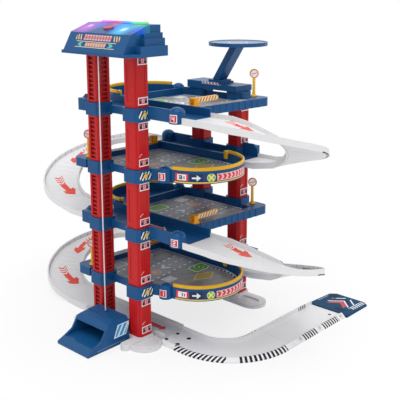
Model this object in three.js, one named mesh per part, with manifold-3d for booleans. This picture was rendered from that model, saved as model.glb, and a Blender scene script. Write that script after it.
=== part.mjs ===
// A toy parking garage with a lift: four storeys on four columns, joined by descending hairpin tracks.
// Millimetres, +Z up. The garage is built round the centre of its four columns, on the ground, with X from the
// lift columns to the back columns, and is then moved so that the origin is under the middle of its box.
import * as THREE from "three";
import { mergeVertices } from "three/addons/utils/BufferGeometryUtils.js";
import Module from "manifold-3d";

const wasm = await Module();
wasm.setup();

// Clearances
const fitGap = 0.3;
const overrun = 1;
const weldSize = 0.002;

// Storeys and columns
const levelPitch = 80;
const levelCount = 4;
const columnOffsetX = 102;
const columnOffsetY = 37;
const columnWidth = 25;
const columnChamfer = 4;
const columnPanelWidth = 9;
const columnPanelDepth = 0.8;
const columnPanelMargin = 9;
const spigotWidth = 20;
const spigotChamfer = 3;
const spigotLength = 6;
const rackWidth = 10;
const rackDepth = 3;
const rackToothPitch = 6;
const rackToothHeight = 2;
const rackToothDepth = 1.6;
const rackEndMargin = 3;

// Deck, in the frame of one storey: zero height is the top of its collars
const collarWidth = 30;
const collarChamfer = 5;
const collarHeight = 17.5;
const roadOuterX = 97;
const roadInnerX = 42;
const roadEndY = 112;
const roadArriveY = 80;
const floorTop = -12;
const floorThickness = 2.5;
const roadWallThickness = 2.5;
const outerWallTop = 2;
const shoulderTop = 6;
const shoulderReachY = 72;
const lowWallTop = -1;
const sillTop = -4;
const innerWallTop = -1;
const deckEdgeY = 93;
const deckEdgeSlant = 12;
const edgeBeamWidth = 13;
const edgeBeamTop = -4;
const edgeBeamBottom = -16;
const wingTipX = 106;
const wingRadius = 10;
const wingBackY = 64;
const balconyInset = 1;
const balconyY = 70;
const balconyRadius = 62;
const balconyWall = 2.5;
const balconyWallTop = 1;
const balconyWallDepth = 17;
const curbHeight = 10;
const curbThickness = 3;
const curbY = 60;
const curbLength = 78;
const ribPitch = 12;
const ribWidth = 2;
const ribProud = 1;
const roadPostX = 93;
const roadPostY = 101;
const roadPostRadius = 10.5;
const roadPostShoulder = -3;
const roadPostTop = 5.5;
const balconyPostProud = 2;
const balconyPostRadius = 9;
const balconyPostTop = 4;

// Balcony rail
const railWidth = 3;
const railHeight = 4.5;
const railPostWidth = 3.6;
const railPostLength = 6;
const railPostGap = 0.8;
const railPostBottom = -6;

// Barrier gate
const gateX = 35;
const gateY = 75;
const gateFootLength = 13;
const gateFootWidth = 9;
const gateFootThickness = 3;
const gateEarThickness = 2.4;
const gateEarLength = 8;
const gateEarRise = 3.5;
const gatePivotHeight = 8.5;
const gatePinRadius = 1.2;
const gateArmHeight = 7;
const gateArmThickness = 2.4;
const gateArmLength = 47;
const gateArmTail = 4;

// Road sign
const signX = 94;
const signY = 72;
const signPostRadius = 2;
const signBaseRadius = 4.5;
const signBaseHeight = 2;
const signDiscHeight = 29;
const signDiscRadius = 6.5;
const signDiscThickness = 2.8;
const signTurnDeg = 45;

// Hairpin tracks
const trackWallHeight = 5.5;
const trackWallThickness = 2;
const trackFloor = 3;
const turnCentreY = 148;
const levelOutY = 113;
const tongueWidth = 30;
const tongueLength = 7;
const tongueThickness = 2;
const riserLength = 6;
const groundFloorTop = 3;
const groundWallHeight = 7;
const waistOuterX = 86;
const waistInnerX = 47;
const waistStartY = 76;
const waistFlare = 10;
const groundTrackEndY = 66;

// Ground track, exit and ramp
const groundTurnX = 2;
const groundTurnY = 107;
const groundTurnCentreX = 70;
const exitCentreY = 175;
const groundStartShare = 0.82;
const rimOuterExtra = 5.5;
const rimTop = 5.5;
const rimEdgeTop = 1.5;
const rimRoadSide = 3;
const rimCrest = 2;
const innerRimTop = 8;
const curveEndX = 20;
const exitEndX = 144;
const drainHoleRadius = 3.2;
const drainHoleSpacing = 22;
const drainHoleX = 74;
const drainHoleY = 80;
const rampEndX = 208;
const rampWidth = 66;
const rampThickness = 4.5;
const rampLipThickness = 1.2;
const rampCorner = 8;

// Feet
const footHeight = 8;
const footBlockWidth = 30;
const footDiscRadius = 23;
const footDiscHeight = 5;
const footRingRadius = 17;
const footRingWidth = 3;
const footRingHeight = 1.6;
const liftFootShiftX = 11;
const liftFootShiftY = 20;
const footLobeX = 138;
const footLobeY = 46;
const footLobeRadius = 6.5;
const backFootRadius = 20;
const backFootShiftX = 10;
const backFootReachY = 41;
const backFootSlotRadius = 9;
const backFootSlotDepth = 2.5;

// Lift cab and cord
const cabFrontX = 190;
const cabRearX = 118.5;
const cabHalfWidth = 32;
const cabWall = 3;
const cabBottom = 1;
const cabFloorTop = 9;
const cabLip = 5;
const cabMouthFootX = 180;
const cabMouthMiddleX = 166;
const cabMouthMiddleZ = 16;
const cabMouthTopX = 157;
const cabMouthTopZ = 30;
const cabBrowX = 152;
const cabBrowZ = 34;
const cabHeight = 36;
const cabRoofThickness = 3;
const cabCornerChamfer = 5;
const cabRidgeHalfWidth = 26;
const cabRidgeHeight = 1.5;
const cabRidgeFrontX = 141;
const cordBossRadius = 3;
const cordBossHeight = 1.5;
const tongueReachX = 99.5;
const tongueHalfWidth = 21.2;
const tongueWall = 2;
const tongueTop = 24;
const cordRadius = 0.7;

// Tower head
const headLift = 66;
const headBackReach = 24;
const headFrontRoom = 9.2;
const headTopRoom = 17.7;
const headSideReach = 21;
const eaveHeight = 4;
const panelLean = 13.5;
const crestRun = 30.5;
const crestRise = 11;
const tierFrontReach = [22, 11, 8];
const tierHeight = [13, 22, 28.5];
const tierSideReach = [34, 29, 25];
const headWall = 2.5;
const basePlate = 3;
const socketWall = 5;
const drumOffset = 10;
const drumRunGap = 0.7;
const drumRadius = 6.5;
const drumFlangeRadius = 8.3;
const drumHalfLength = 9;
const drumFlange = 1.5;
const drumAxleRadius = 2;
const drumAxleLength = 4;
const bracketThickness = 2.5;
const bracketWidth = 8;
const motorWidth = 11;
const motorHeight = 8;
const motorLength = 34;
const batteryDoorLength = 30;
const batteryDoorWidth = 26;
const batteryDoorThickness = 2;
const cordHoleRadius = 2.6;
const lensHalfLength = 42;
const lensWidth = 9;
const lensHeight = 2.4;
const lensInset = 4;
const buttonHalfLength = 9;
const buttonHalfWidth = 5;
const buttonProud = 2;
const buttonFlange = 1.4;
const buttonFlangeThickness = 1.2;

// Helipad
const bridgeLeftY = 50;
const bridgeRightY = 47;
const bridgeNearX = 84;
const bridgeFarX = 120;
const bridgeHeight = 11;
const bridgeStep = 2.5;
const bridgeStepY = 12;
const bridgePadWidth = 24;
const bridgePadHeight = 3;
const padArmWidth = 18;
const padArmThickness = 13;
const padArmLean = 35;
const padHeight = 52;
const padRadius = 43;
const padThickness = 4;
const padRimWidth = 3;
const padRimHeight = 1.2;
const padPinRadius = 4;
const padPinLength = 5;

// How much of the drop is done at each equal step of the half turn, and at its end
const dropShares = [0, 0.025, 0.06, 0.125, 0.195, 0.275, 0.36, 0.45, 0.56, 0.66, 0.76, 0.85, 0.92];

// Round shapes are drawn with these counts
const roundSides = 16;
const smallSides = 10;
const balconySteps = 18;
const turnSubSteps = 2;
const groundTurnSteps = 12;
const postSides = 12;
const cordSides = 8;
const discSides = 28;

// Values worked out from the sizes above
const trackHalfWidth = (roadOuterX - roadInnerX) / 2;
const trackCentreX = (roadOuterX + roadInnerX) / 2;
const floorBottom = floorTop - floorThickness;
const balconyX = balconyRadius - roadInnerX + balconyInset;
const balconyPostX = balconyX + balconyRadius + balconyPostProud;
const headBottom = levelCount * levelPitch + headLift;
const drumX = columnOffsetX + columnWidth / 2 + drumOffset;
const drumZ = headBottom + basePlate + drumFlangeRadius + drumRunGap;
const headFrontX = drumX + drumFlangeRadius + headFrontRoom;
const headBackX = columnOffsetX - headBackReach;
const headTop = drumZ + drumFlangeRadius + headTopRoom;
const headHalfWidth = columnOffsetY + headSideReach;
const panelTopX = headFrontX - panelLean;
const panelTopZ = headTop - crestRise;
const crestX = panelTopX - crestRun;
const tierFrontX = tierFrontReach.map((reach) => columnOffsetX + reach);
const tierTopZ = tierHeight.map((height) => headBottom + height);
const tierHalfWidth = tierSideReach.map((reach) => columnOffsetY + reach);
const cordX = drumX + drumRadius + cordRadius + fitGap;
const cordTop = drumZ - fitGap;
const cabRidgeTop = cabHeight + cabRidgeHeight + cordBossHeight;
const socketWidth = spigotWidth + 2 * fitGap;
const socketChamfer = spigotChamfer;
const originShiftX = (cabFrontX - rampEndX) / 2;

// Colours and finishes
const finish = {
  blue: { color: 0x2a548c, roughness: 0.42, metalness: 0 },
  red: { color: 0xd23a36, roughness: 0.45, metalness: 0 },
  grey: { color: 0xd9d8dc, roughness: 0.5, metalness: 0 },
  yellow: { color: 0xf0b42c, roughness: 0.45, metalness: 0 },
  orange: { color: 0xf39a1e, roughness: 0.45, metalness: 0 },
  cord: { color: 0xf4f2ee, roughness: 0.8, metalness: 0 },
  lens: { color: 0x4cb6ff, roughness: 0.15, metalness: 0 },
  metal: { color: 0xb9bcc0, roughness: 0.3, metalness: 0.9 },
};

// Geometry helpers

function toSolid(geometry) {
  const bare = geometry.clone();
  for (const name of Object.keys(bare.attributes)) {
    if (name !== "position") bare.deleteAttribute(name);
  }
  const merged = mergeVertices(bare);
  const positions = merged.attributes.position.array;
  const triangles = Uint32Array.from(merged.index.array);
  if (signedVolume(positions, triangles) < 0) {
    for (let i = 0; i < triangles.length; i += 3) {
      [triangles[i], triangles[i + 1]] = [triangles[i + 1], triangles[i]];
    }
  }
  const mesh = new wasm.Mesh({ numProp: 3, vertProperties: positions, triVerts: triangles });
  return new wasm.Manifold(mesh);
}

function signedVolume(positions, triangles) {
  const corner = (i) => new THREE.Vector3().fromArray(positions, 3 * triangles[i]);
  let sum = 0;
  for (let i = 0; i < triangles.length; i += 3) {
    sum += corner(i).dot(corner(i + 1).cross(corner(i + 2)));
  }
  return sum / 6;
}

function toGeometry(solid) {
  const mesh = solid.simplify(weldSize).getMesh();
  const geometry = new THREE.BufferGeometry();
  geometry.setAttribute("position", new THREE.BufferAttribute(mesh.vertProperties, 3));
  geometry.setIndex(new THREE.BufferAttribute(mesh.triVerts, 1));
  geometry.computeVertexNormals();
  return geometry;
}

function joined(solids) {
  return solids.reduce((sum, solid) => sum.add(solid));
}

function box([x0, x1], [y0, y1], [z0, z1]) {
  const geometry = new THREE.BoxGeometry(x1 - x0, y1 - y0, z1 - z0);
  geometry.translate((x0 + x1) / 2, (y0 + y1) / 2, (z0 + z1) / 2);
  return toSolid(geometry);
}

// An outline in X and Y, raised from z0 to z1
function prism(points, [z0, z1]) {
  const shape = new THREE.Shape(points.map(([x, y]) => new THREE.Vector2(x, y)));
  const geometry = new THREE.ExtrudeGeometry(shape, { depth: z1 - z0, bevelEnabled: false });
  geometry.translate(0, 0, z0);
  return toSolid(geometry);
}

// An outline in X and Z, drawn out from y0 to y1
function sidePrism(points, [y0, y1]) {
  const shape = new THREE.Shape(points.map(([x, z]) => new THREE.Vector2(x, z)));
  const geometry = new THREE.ExtrudeGeometry(shape, { depth: y1 - y0, bevelEnabled: false });
  geometry.rotateX(Math.PI / 2);
  geometry.translate(0, y1, 0);
  return toSolid(geometry);
}

// An outline in Y and Z, drawn out from x0 to x1
function endPrism(points, [x0, x1]) {
  const shape = new THREE.Shape(points.map(([y, z]) => new THREE.Vector2(y, z)));
  const geometry = new THREE.ExtrudeGeometry(shape, { depth: x1 - x0, bevelEnabled: false });
  geometry.rotateX(Math.PI / 2);
  geometry.rotateZ(Math.PI / 2);
  geometry.translate(x0, 0, 0);
  return toSolid(geometry);
}

function upright(x, y, radius, [z0, z1], sides = roundSides) {
  const geometry = new THREE.CylinderGeometry(radius, radius, z1 - z0, sides);
  geometry.rotateX(Math.PI / 2);
  geometry.translate(x, y, (z0 + z1) / 2);
  return toSolid(geometry);
}

// A round bar along Y
function crossBar(x, z, radius, [y0, y1], sides = roundSides) {
  const geometry = new THREE.CylinderGeometry(radius, radius, y1 - y0, sides);
  geometry.translate(x, (y0 + y1) / 2, z);
  return toSolid(geometry);
}

function squareOutline(x, y, width, chamfer) {
  const half = width / 2;
  const flat = half - chamfer;
  const corners = [[half, -flat], [half, flat], [flat, half], [-flat, half], [-half, flat], [-half, -flat],
    [-flat, -half], [flat, -half]];
  return corners.map(([dx, dy]) => [x + dx, y + dy]);
}

function arcPoints(x, y, radius, fromDeg, toDeg, steps) {
  const points = [];
  for (let i = 0; i <= steps; i++) {
    const angle = THREE.MathUtils.degToRad(fromDeg + (toDeg - fromDeg) * i / steps);
    points.push([x + radius * Math.cos(angle), y + radius * Math.sin(angle)]);
  }
  return points;
}

// A closed section carried along stations. Each station has a place and a unit side vector; the section's
// points are a distance along the side and a height.
function sweep(stations, section) {
  const positions = [];
  for (const { place, side } of stations) {
    for (const [across, height] of section) {
      positions.push(place.x + side.x * across, place.y + side.y * across, place.z + height);
    }
  }
  const count = section.length;
  const triangles = [];
  for (let i = 0; i + 1 < stations.length; i++) {
    for (let j = 0; j < count; j++) {
      const a = i * count + j;
      const b = i * count + (j + 1) % count;
      triangles.push(a, b, b + count, a, b + count, a + count);
    }
  }
  const contour = section.map(([across, height]) => new THREE.Vector2(across, height));
  const last = (stations.length - 1) * count;
  for (const [a, b, c] of THREE.ShapeUtils.triangulateShape(contour, [])) {
    triangles.push(a, c, b, last + a, last + b, last + c);
  }
  const geometry = new THREE.BufferGeometry();
  geometry.setAttribute("position", new THREE.Float32BufferAttribute(positions, 3));
  geometry.setIndex(triangles);
  return toSolid(geometry);
}

// Columns

function columnSegment([z0, z1], spigotTopLength, rackFaces) {
  let solid = joined([
    prism(squareOutline(0, 0, columnWidth, columnChamfer), [z0, z1]),
    prism(squareOutline(0, 0, spigotWidth, spigotChamfer), [z0 - spigotLength, z0 + overrun]),
    prism(squareOutline(0, 0, spigotWidth, spigotChamfer), [z1 - overrun, z1 + spigotTopLength]),
  ]);
  const half = columnWidth / 2;
  for (const turn of [0, 1, 2, 3]) {
    const face = turn * Math.PI / 2;
    const cutter = rackFaces.includes(turn)
      ? rackPockets([z0, z1], half)
      : box([half - columnPanelDepth, half + overrun], [-columnPanelWidth / 2, columnPanelWidth / 2],
        [z0 + columnPanelMargin, z1 - columnPanelMargin]);
    solid = solid.subtract(cutter.rotate([0, 0, THREE.MathUtils.radToDeg(face)]));
  }
  return solid;
}

// The channel of a rack between its teeth, in the face that looks along +X
function rackPockets([z0, z1], half) {
  const bottom = z0 + rackEndMargin;
  const top = z1 - rackEndMargin;
  const channel = box([half - rackDepth, half + overrun], [-rackWidth / 2, rackWidth / 2], [bottom, top]);
  const teeth = [];
  const crest = half - rackDepth + rackToothDepth;
  for (let z = bottom + rackToothPitch / 2; z + rackToothHeight < top; z += rackToothPitch) {
    teeth.push(box([half - rackDepth - overrun, crest], [-rackWidth, rackWidth], [z, z + rackToothHeight]));
  }
  return channel.subtract(joined(teeth));
}

// Decks

// The front edge slants in from the wing to the road
function deckEdgeAt(x) {
  const wingCentreX = wingTipX - wingRadius;
  return deckEdgeSlant * (wingCentreX - x) / (wingCentreX + roadInnerX) - deckEdgeY;
}

function deckPlate() {
  const wingCentreX = wingTipX - wingRadius;
  const wingCentreY = wingRadius - deckEdgeY;
  const outline = [
    [-roadOuterX, -roadEndY],
    [-roadInnerX, -roadEndY],
    [-roadInnerX, deckEdgeAt(-roadInnerX)],
    ...arcPoints(wingCentreX, wingCentreY, wingRadius, -90, 0, 6),
    [wingTipX, -wingBackY],
    [roadOuterX, -wingBackY],
    [roadOuterX, columnOffsetY],
    ...arcPoints(balconyX, balconyY, balconyRadius, 0, 180, balconySteps),
    [-roadInnerX, balconyY],
    [-roadInnerX, roadArriveY],
    [-roadOuterX, roadArriveY],
  ];
  return prism(outline, [floorBottom, floorTop]);
}

function roadWalls() {
  const clearOfPost = collarWidth / 2;
  const profile = [
    [-roadEndY, floorBottom],
    [roadArriveY, floorBottom],
    [roadArriveY, lowWallTop],
    [shoulderReachY, shoulderTop],
    [columnOffsetY, shoulderTop],
    [columnOffsetY, sillTop],
    [-columnOffsetY, sillTop],
    [-columnOffsetY, outerWallTop],
    [-roadEndY, outerWallTop],
  ];
  const outer = endPrism(profile, [-roadOuterX, -roadOuterX + roadWallThickness]);
  const shoulder = box([-columnOffsetX - clearOfPost / 2, -roadOuterX + roadWallThickness],
    [columnOffsetY, shoulderReachY], [floorBottom, outerWallTop]);
  const inner = box([-roadInnerX - roadWallThickness, -roadInnerX], [-roadEndY, roadArriveY],
    [floorBottom, innerWallTop]);
  const farSill = box([roadOuterX - roadWallThickness, roadOuterX], [-columnOffsetY, columnOffsetY],
    [floorBottom, sillTop]);
  return [outer, shoulder, inner, farSill];
}

// The wall round the balcony, with a foot that joins it to the wall of the road
function balconyRing() {
  const heights = [balconyWallTop - balconyWallDepth, balconyWallTop];
  const outer = arcPoints(balconyX, balconyY, balconyRadius, 0, 180, balconySteps);
  const inner = arcPoints(balconyX, balconyY, balconyRadius - balconyWall, 180, 0, balconySteps);
  const foot = box([-roadInnerX - overrun, balconyX - balconyRadius + balconyWall],
    [balconyY - 2 * balconyWall, balconyY], heights);
  return joined([prism([...outer, ...inner], heights), foot]);
}

// The straight wall from the back collar to the foot of the balcony
function balconyReturn() {
  const from = [columnOffsetX - collarWidth / 4, columnOffsetY];
  const to = [balconyX + balconyRadius - balconyWall, balconyY];
  const outline = [from, [from[0] + balconyWall, from[1]], [to[0] + balconyWall, to[1]], to];
  return prism(outline, [balconyWallTop - balconyWallDepth, lowWallTop]);
}

function edgeBeam() {
  const wingCentreX = wingTipX - wingRadius;
  const wingCentreY = wingRadius - deckEdgeY;
  const heights = [edgeBeamBottom, edgeBeamTop];
  const outline = [
    [-roadInnerX, deckEdgeAt(-roadInnerX)],
    ...arcPoints(wingCentreX, wingCentreY, wingRadius, -90, 0, 6),
    [wingTipX, -wingBackY],
    [wingTipX - 2 * edgeBeamWidth, -wingBackY],
    [wingTipX - 2 * edgeBeamWidth, -deckEdgeY + edgeBeamWidth],
    [-roadInnerX, deckEdgeAt(-roadInnerX) + edgeBeamWidth],
  ];
  const solids = [prism(outline, heights)];
  const ribCount = Math.floor((wingCentreX + roadInnerX) / ribPitch);
  for (let i = 1; i < ribCount; i++) {
    const x = -roadInnerX + i * ribPitch;
    const y = deckEdgeAt(x);
    solids.push(box([x, x + ribWidth], [y - ribProud, y + overrun], heights));
  }
  return joined(solids);
}

function domedPost(x, y, radius, [bottom, shoulder, top]) {
  const profile = [[0, bottom], [radius, bottom], [radius, shoulder]];
  const steps = 3;
  for (let i = 1; i <= steps; i++) {
    const angle = i / steps * Math.PI / 2;
    profile.push([radius * Math.cos(angle), shoulder + (top - shoulder) * Math.sin(angle)]);
  }
  profile[profile.length - 1][0] = 0;
  const geometry = new THREE.LatheGeometry(profile.map(([r, z]) => new THREE.Vector2(r, z)), postSides);
  geometry.rotateX(Math.PI / 2);
  geometry.translate(x, y, 0);
  return toSolid(geometry);
}

function collars() {
  const solids = [];
  const sockets = [];
  for (const sx of [-1, 1]) {
    for (const sy of [-1, 1]) {
      const x = sx * columnOffsetX;
      const y = sy * columnOffsetY;
      const socket = squareOutline(x, y, socketWidth, socketChamfer);
      const depth = spigotLength + fitGap;
      solids.push(prism(squareOutline(x, y, collarWidth, collarChamfer), [-collarHeight, 0]));
      sockets.push(prism(socket, [-depth, overrun]));
      sockets.push(prism(squareOutline(x, y, collarWidth, collarChamfer), [0, shoulderTop + overrun]));
      sockets.push(prism(socket, [-collarHeight - overrun, -collarHeight + depth]));
    }
  }
  return { solid: joined(solids), sockets: joined(sockets) };
}

function deck(hasCurb) {
  const { solid: collarSolid, sockets } = collars();
  const bottom = floorBottom;
  const solids = [
    deckPlate(),
    ...roadWalls(),
    balconyRing(),
    balconyReturn(),
    edgeBeam(),
    domedPost(-roadPostX, -roadPostY, roadPostRadius, [bottom, roadPostShoulder, roadPostTop]),
    domedPost(balconyPostX, balconyY, balconyPostRadius,
      [balconyWallTop - balconyWallDepth, roadPostShoulder, balconyPostTop]),
    collarSolid,
  ];
  if (hasCurb) {
    const from = balconyPostX - curbLength;
    solids.push(box([from, balconyPostX], [curbY, curbY + curbThickness], [bottom, floorTop + curbHeight]));
  }
  return joined(solids).subtract(sockets);
}

// Pieces that stand on each deck

function railStations() {
  const middle = balconyRadius - balconyWall / 2;
  const stations = [];
  const add = (cx, cy, radius, angle) => {
    const side = new THREE.Vector3(Math.cos(angle), Math.sin(angle), 0);
    const place = new THREE.Vector3(cx, cy, 0).addScaledVector(side, radius);
    stations.push({ place, side });
  };
  for (let i = 1; i <= balconySteps; i++) {
    add(balconyX, balconyY, middle, Math.PI * i / balconySteps);
  }
  return stations;
}

function balconyRail() {
  const bottom = balconyWallTop + fitGap;
  const half = railWidth / 2;
  const shoulder = half / 2;
  const section = [[-half, bottom], [half, bottom], [half, bottom + railHeight - shoulder],
    [shoulder, bottom + railHeight], [-shoulder, bottom + railHeight], [-half, bottom + railHeight - shoulder]];
  const stations = railStations();
  const end = stations[stations.length - 1].place;
  const inside = balconyX - balconyRadius + balconyWall + railPostGap;
  const across = [end.y - railPostLength / 2, end.y + railPostLength / 2];
  const top = bottom + railHeight - shoulder;
  return joined([
    sweep(stations, section),
    box([end.x, inside + railPostWidth], across, [bottom, top]),
    box([inside, inside + railPostWidth], across, [railPostBottom, top]),
  ]);
}

function gateFoot() {
  const bottom = edgeBeamTop + fitGap;
  const pivotZ = edgeBeamTop + gatePivotHeight;
  const slab = box([-gateFootLength / 2, gateFootLength / 2], [-gateFootWidth / 2, gateFootWidth / 2],
    [bottom, bottom + gateFootThickness - fitGap]);
  const ears = [-1, 1].map((s) => {
    const inner = s * (gateFootWidth / 2 - gateEarThickness);
    const outer = s * gateFootWidth / 2;
    const reach = [Math.min(inner, outer), Math.max(inner, outer)];
    return box([-gateEarLength / 2, gateEarLength / 2], reach, [bottom, pivotZ + gateEarRise]);
  });
  const pin = crossBar(0, pivotZ, gatePinRadius, [-gateFootWidth / 2 + overrun, gateFootWidth / 2 - overrun],
    smallSides);
  return joined([slab, ...ears, pin]);
}

function gateArm() {
  const pivotZ = edgeBeamTop + gatePivotHeight;
  const half = gateArmHeight / 2;
  const tip = gateArmLength;
  const outline = [
    [-gateArmTail, pivotZ - half + overrun],
    [-gateArmTail + overrun, pivotZ - half],
    [tip - half, pivotZ - half],
    [tip, pivotZ - half / 2],
    [tip, pivotZ + half / 2],
    [tip - half, pivotZ + half],
    [-gateArmTail + overrun, pivotZ + half],
    [-gateArmTail, pivotZ + half - overrun],
  ];
  const reach = [-gateArmThickness / 2, gateArmThickness / 2];
  const bore = crossBar(0, pivotZ, gatePinRadius + fitGap, [-gateFootWidth, gateFootWidth], smallSides);
  return sidePrism(outline, reach).subtract(bore);
}

function roadSign() {
  const bottom = edgeBeamTop + fitGap;
  const post = upright(0, 0, signPostRadius, [bottom, signDiscHeight], smallSides);
  const base = upright(0, 0, signBaseRadius, [bottom, bottom + signBaseHeight], smallSides);
  const disc = crossBar(0, signDiscHeight, signDiscRadius, [-signDiscThickness / 2, signDiscThickness / 2]);
  return joined([post, base, disc.rotate([0, 0, -signTurnDeg])]);
}

// Tracks

const trackSection = [
  [-trackHalfWidth, -trackFloor],
  [trackHalfWidth, -trackFloor],
  [trackHalfWidth, trackWallHeight],
  [trackHalfWidth - trackWallThickness, trackWallHeight],
  [trackHalfWidth - trackWallThickness, 0],
  [-trackHalfWidth + trackWallThickness, 0],
  [-trackHalfWidth + trackWallThickness, trackWallHeight],
  [-trackHalfWidth, trackWallHeight],
];

// A hairpin from x = from * trackCentreX round to the other side, on the side sy of the garage
function hairpin(from, sy, zStart, zEnd, arriveY) {
  const stations = [];
  const add = (x, y, sideX, sideY, share) => {
    stations.push({
      place: new THREE.Vector3(x, sy * y, zStart + (zEnd - zStart) * share),
      side: new THREE.Vector3(sideX, sy * sideY, 0),
    });
  };
  add(from * trackCentreX, roadEndY + fitGap, from, 0, 0);
  const steps = (dropShares.length - 1) * turnSubSteps;
  for (let i = 0; i <= steps; i++) {
    const angle = Math.PI * i / steps;
    const c = Math.cos(angle);
    const s = Math.sin(angle);
    const before = dropShares[Math.floor(i / turnSubSteps)];
    const after = dropShares[Math.ceil(i / turnSubSteps)];
    const share = before + (after - before) * (i % turnSubSteps) / turnSubSteps;
    add(from * trackCentreX * c, turnCentreY + trackCentreX * s, from * c, s, share);
  }
  add(-from * trackCentreX, levelOutY, -from, 0, 1);
  add(-from * trackCentreX, arriveY, -from, 0, 1);
  return sweep(stations, trackSection);
}

// The tongue that hooks under the end of a deck's road
function tongue(x, sy, z, endY) {
  const under = z - trackFloor - fitGap;
  const inY = endY - tongueLength;
  const outY = endY + fitGap + riserLength;
  const half = tongueWidth / 2;
  const plate = box([x - half, x + half], [Math.min(sy * inY, sy * outY), Math.max(sy * inY, sy * outY)],
    [under - tongueThickness, under]);
  const near = sy * (endY + fitGap);
  const far = sy * outY;
  const riser = box([x - half, x + half], [Math.min(near, far), Math.max(near, far)],
    [under - tongueThickness, z - trackFloor / 2]);
  return joined([plate, riser]);
}

function storeyTrack(level) {
  const from = level % 2 === 0 ? -1 : 1;
  const sy = level % 2 === 0 ? -1 : 1;
  const zStart = level * levelPitch + floorTop;
  const zEnd = zStart - levelPitch;
  return joined([
    hairpin(from, sy, zStart, zEnd, roadArriveY + fitGap),
    tongue(from * trackCentreX, sy, zStart, roadEndY),
    tongue(-from * trackCentreX, sy, zEnd, roadArriveY),
  ]);
}

// The last hairpin comes down to the ground and runs on behind the lift columns, drawn in beside their feet
function groundHairpin() {
  const zStart = levelPitch + floorTop;
  const start = levelOutY - overrun;
  const flareY = waistStartY + waistFlare;
  const outer = [
    [-roadOuterX, start],
    [-roadOuterX, flareY],
    [-waistOuterX, waistStartY],
    [-waistOuterX, -groundTrackEndY],
  ];
  const inner = [
    [-roadInnerX, start],
    [-roadInnerX, flareY],
    [-waistInnerX, waistStartY],
    [-waistInnerX, -groundTrackEndY],
  ];
  const shifted = (points, by) => points.map(([x, y]) => [x + by, y]).reverse();
  const heights = [0, groundFloorTop + groundWallHeight];
  return joined([
    hairpin(1, 1, zStart, groundFloorTop, levelOutY - 2 * overrun),
    tongue(trackCentreX, 1, zStart, roadEndY),
    prism([...outer, ...shifted(inner, 0)], [0, groundFloorTop]),
    prism([...outer, ...shifted(outer, trackWallThickness)], heights),
    prism([...inner, ...shifted(inner, -trackWallThickness)], heights),
  ]).subtract(joined([footNotch(1), footNotch(-1)]));
}

// The room left round the disc of a lift foot
function footNotch(sy) {
  return upright(-columnOffsetX - liftFootShiftX, sy * (columnOffsetY + liftFootShiftY),
    footDiscRadius + 2 * fitGap, [-overrun, footHeight + groundWallHeight]);
}

const groundSection = [
  [-trackHalfWidth, 0],
  [trackHalfWidth + rimOuterExtra, 0],
  [trackHalfWidth + rimOuterExtra, rimEdgeTop],
  [trackHalfWidth, rimTop],
  [trackHalfWidth - rimCrest, rimTop],
  [trackHalfWidth - rimCrest, rimRoadSide],
  [-trackHalfWidth + trackWallThickness, groundFloorTop],
  [-trackHalfWidth + trackWallThickness, innerRimTop],
  [-trackHalfWidth, innerRimTop],
];

function flatStation(x, y, angle, share) {
  const side = new THREE.Vector3(-Math.cos(angle) * share, -Math.sin(angle) * share, 0);
  return { place: new THREE.Vector3(x, y, 0), side };
}

// The curve widens from the start of its turn to the exit
function groundCurve() {
  const share = (i) => groundStartShare + (1 - groundStartShare) * i / groundTurnSteps;
  const stations = [flatStation(-groundTurnCentreX, -groundTrackEndY - fitGap, 0, share(0))];
  for (let i = 0; i <= groundTurnSteps; i++) {
    const angle = Math.PI / 2 * i / groundTurnSteps;
    const x = -groundTurnX - (groundTurnCentreX - groundTurnX) * Math.cos(angle);
    const y = -groundTurnY - (exitCentreY - groundTurnY) * Math.sin(angle);
    stations.push(flatStation(x, y, angle, share(i)));
  }
  stations.push(flatStation(curveEndX, -exitCentreY, Math.PI / 2, 1));
  const half = drainHoleSpacing / 2;
  const holes = [[-half, half], [half, half], [-half, -half], [half, -half]].map(([dx, dy]) => upright(
    -drainHoleX + dx, -drainHoleY + dy, drainHoleRadius, [-overrun, innerRimTop], smallSides));
  return sweep(stations, groundSection).subtract(joined([...holes, footNotch(-1)]));
}

function exitTrack() {
  const stations = [
    flatStation(curveEndX + fitGap, -exitCentreY, Math.PI / 2, 1),
    flatStation(exitEndX, -exitCentreY, Math.PI / 2, 1),
  ];
  return sweep(stations, groundSection);
}

function exitRamp() {
  const from = exitEndX + fitGap;
  const middle = -exitCentreY - rimOuterExtra / 2;
  const half = rampWidth / 2;
  const wedge = sidePrism([[from, 0], [rampEndX, 0], [rampEndX, rampLipThickness], [from, rampThickness]],
    [middle - half, middle + half]);
  const outline = [
    [from - overrun, middle - half],
    [rampEndX - rampCorner, middle - half],
    [rampEndX, middle - half + rampCorner],
    [rampEndX, middle + half - rampCorner],
    [rampEndX - rampCorner, middle + half],
    [from - overrun, middle + half],
  ];
  return wedge.intersect(prism(outline, [-overrun, rampThickness + overrun]));
}

// Feet

function footSocket(x, y) {
  return prism(squareOutline(x, y, socketWidth, socketChamfer), [footHeight - spigotLength - fitGap,
    footHeight + overrun]);
}

function liftFoot(sy) {
  const x = -columnOffsetX;
  const y = sy * columnOffsetY;
  const discX = x - liftFootShiftX;
  const discY = y + sy * liftFootShiftY;
  const ring = upright(discX, discY, footRingRadius, [footDiscHeight - overrun, footDiscHeight + footRingHeight])
    .subtract(upright(discX, discY, footRingRadius - footRingWidth, [0, footHeight]));
  const lobeY = sy * footLobeY;
  const lobe = upright(-footLobeX, lobeY, footLobeRadius, [0, footHeight]);
  const web = box([-footLobeX, x], [lobeY - footLobeRadius, lobeY + footLobeRadius], [0, footHeight]);
  return joined([
    prism(squareOutline(x, y, footBlockWidth, collarChamfer), [0, footHeight]),
    upright(discX, discY, footDiscRadius, [0, footDiscHeight]),
    ring,
    lobe,
    web,
  ]).subtract(footSocket(x, y));
}

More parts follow.
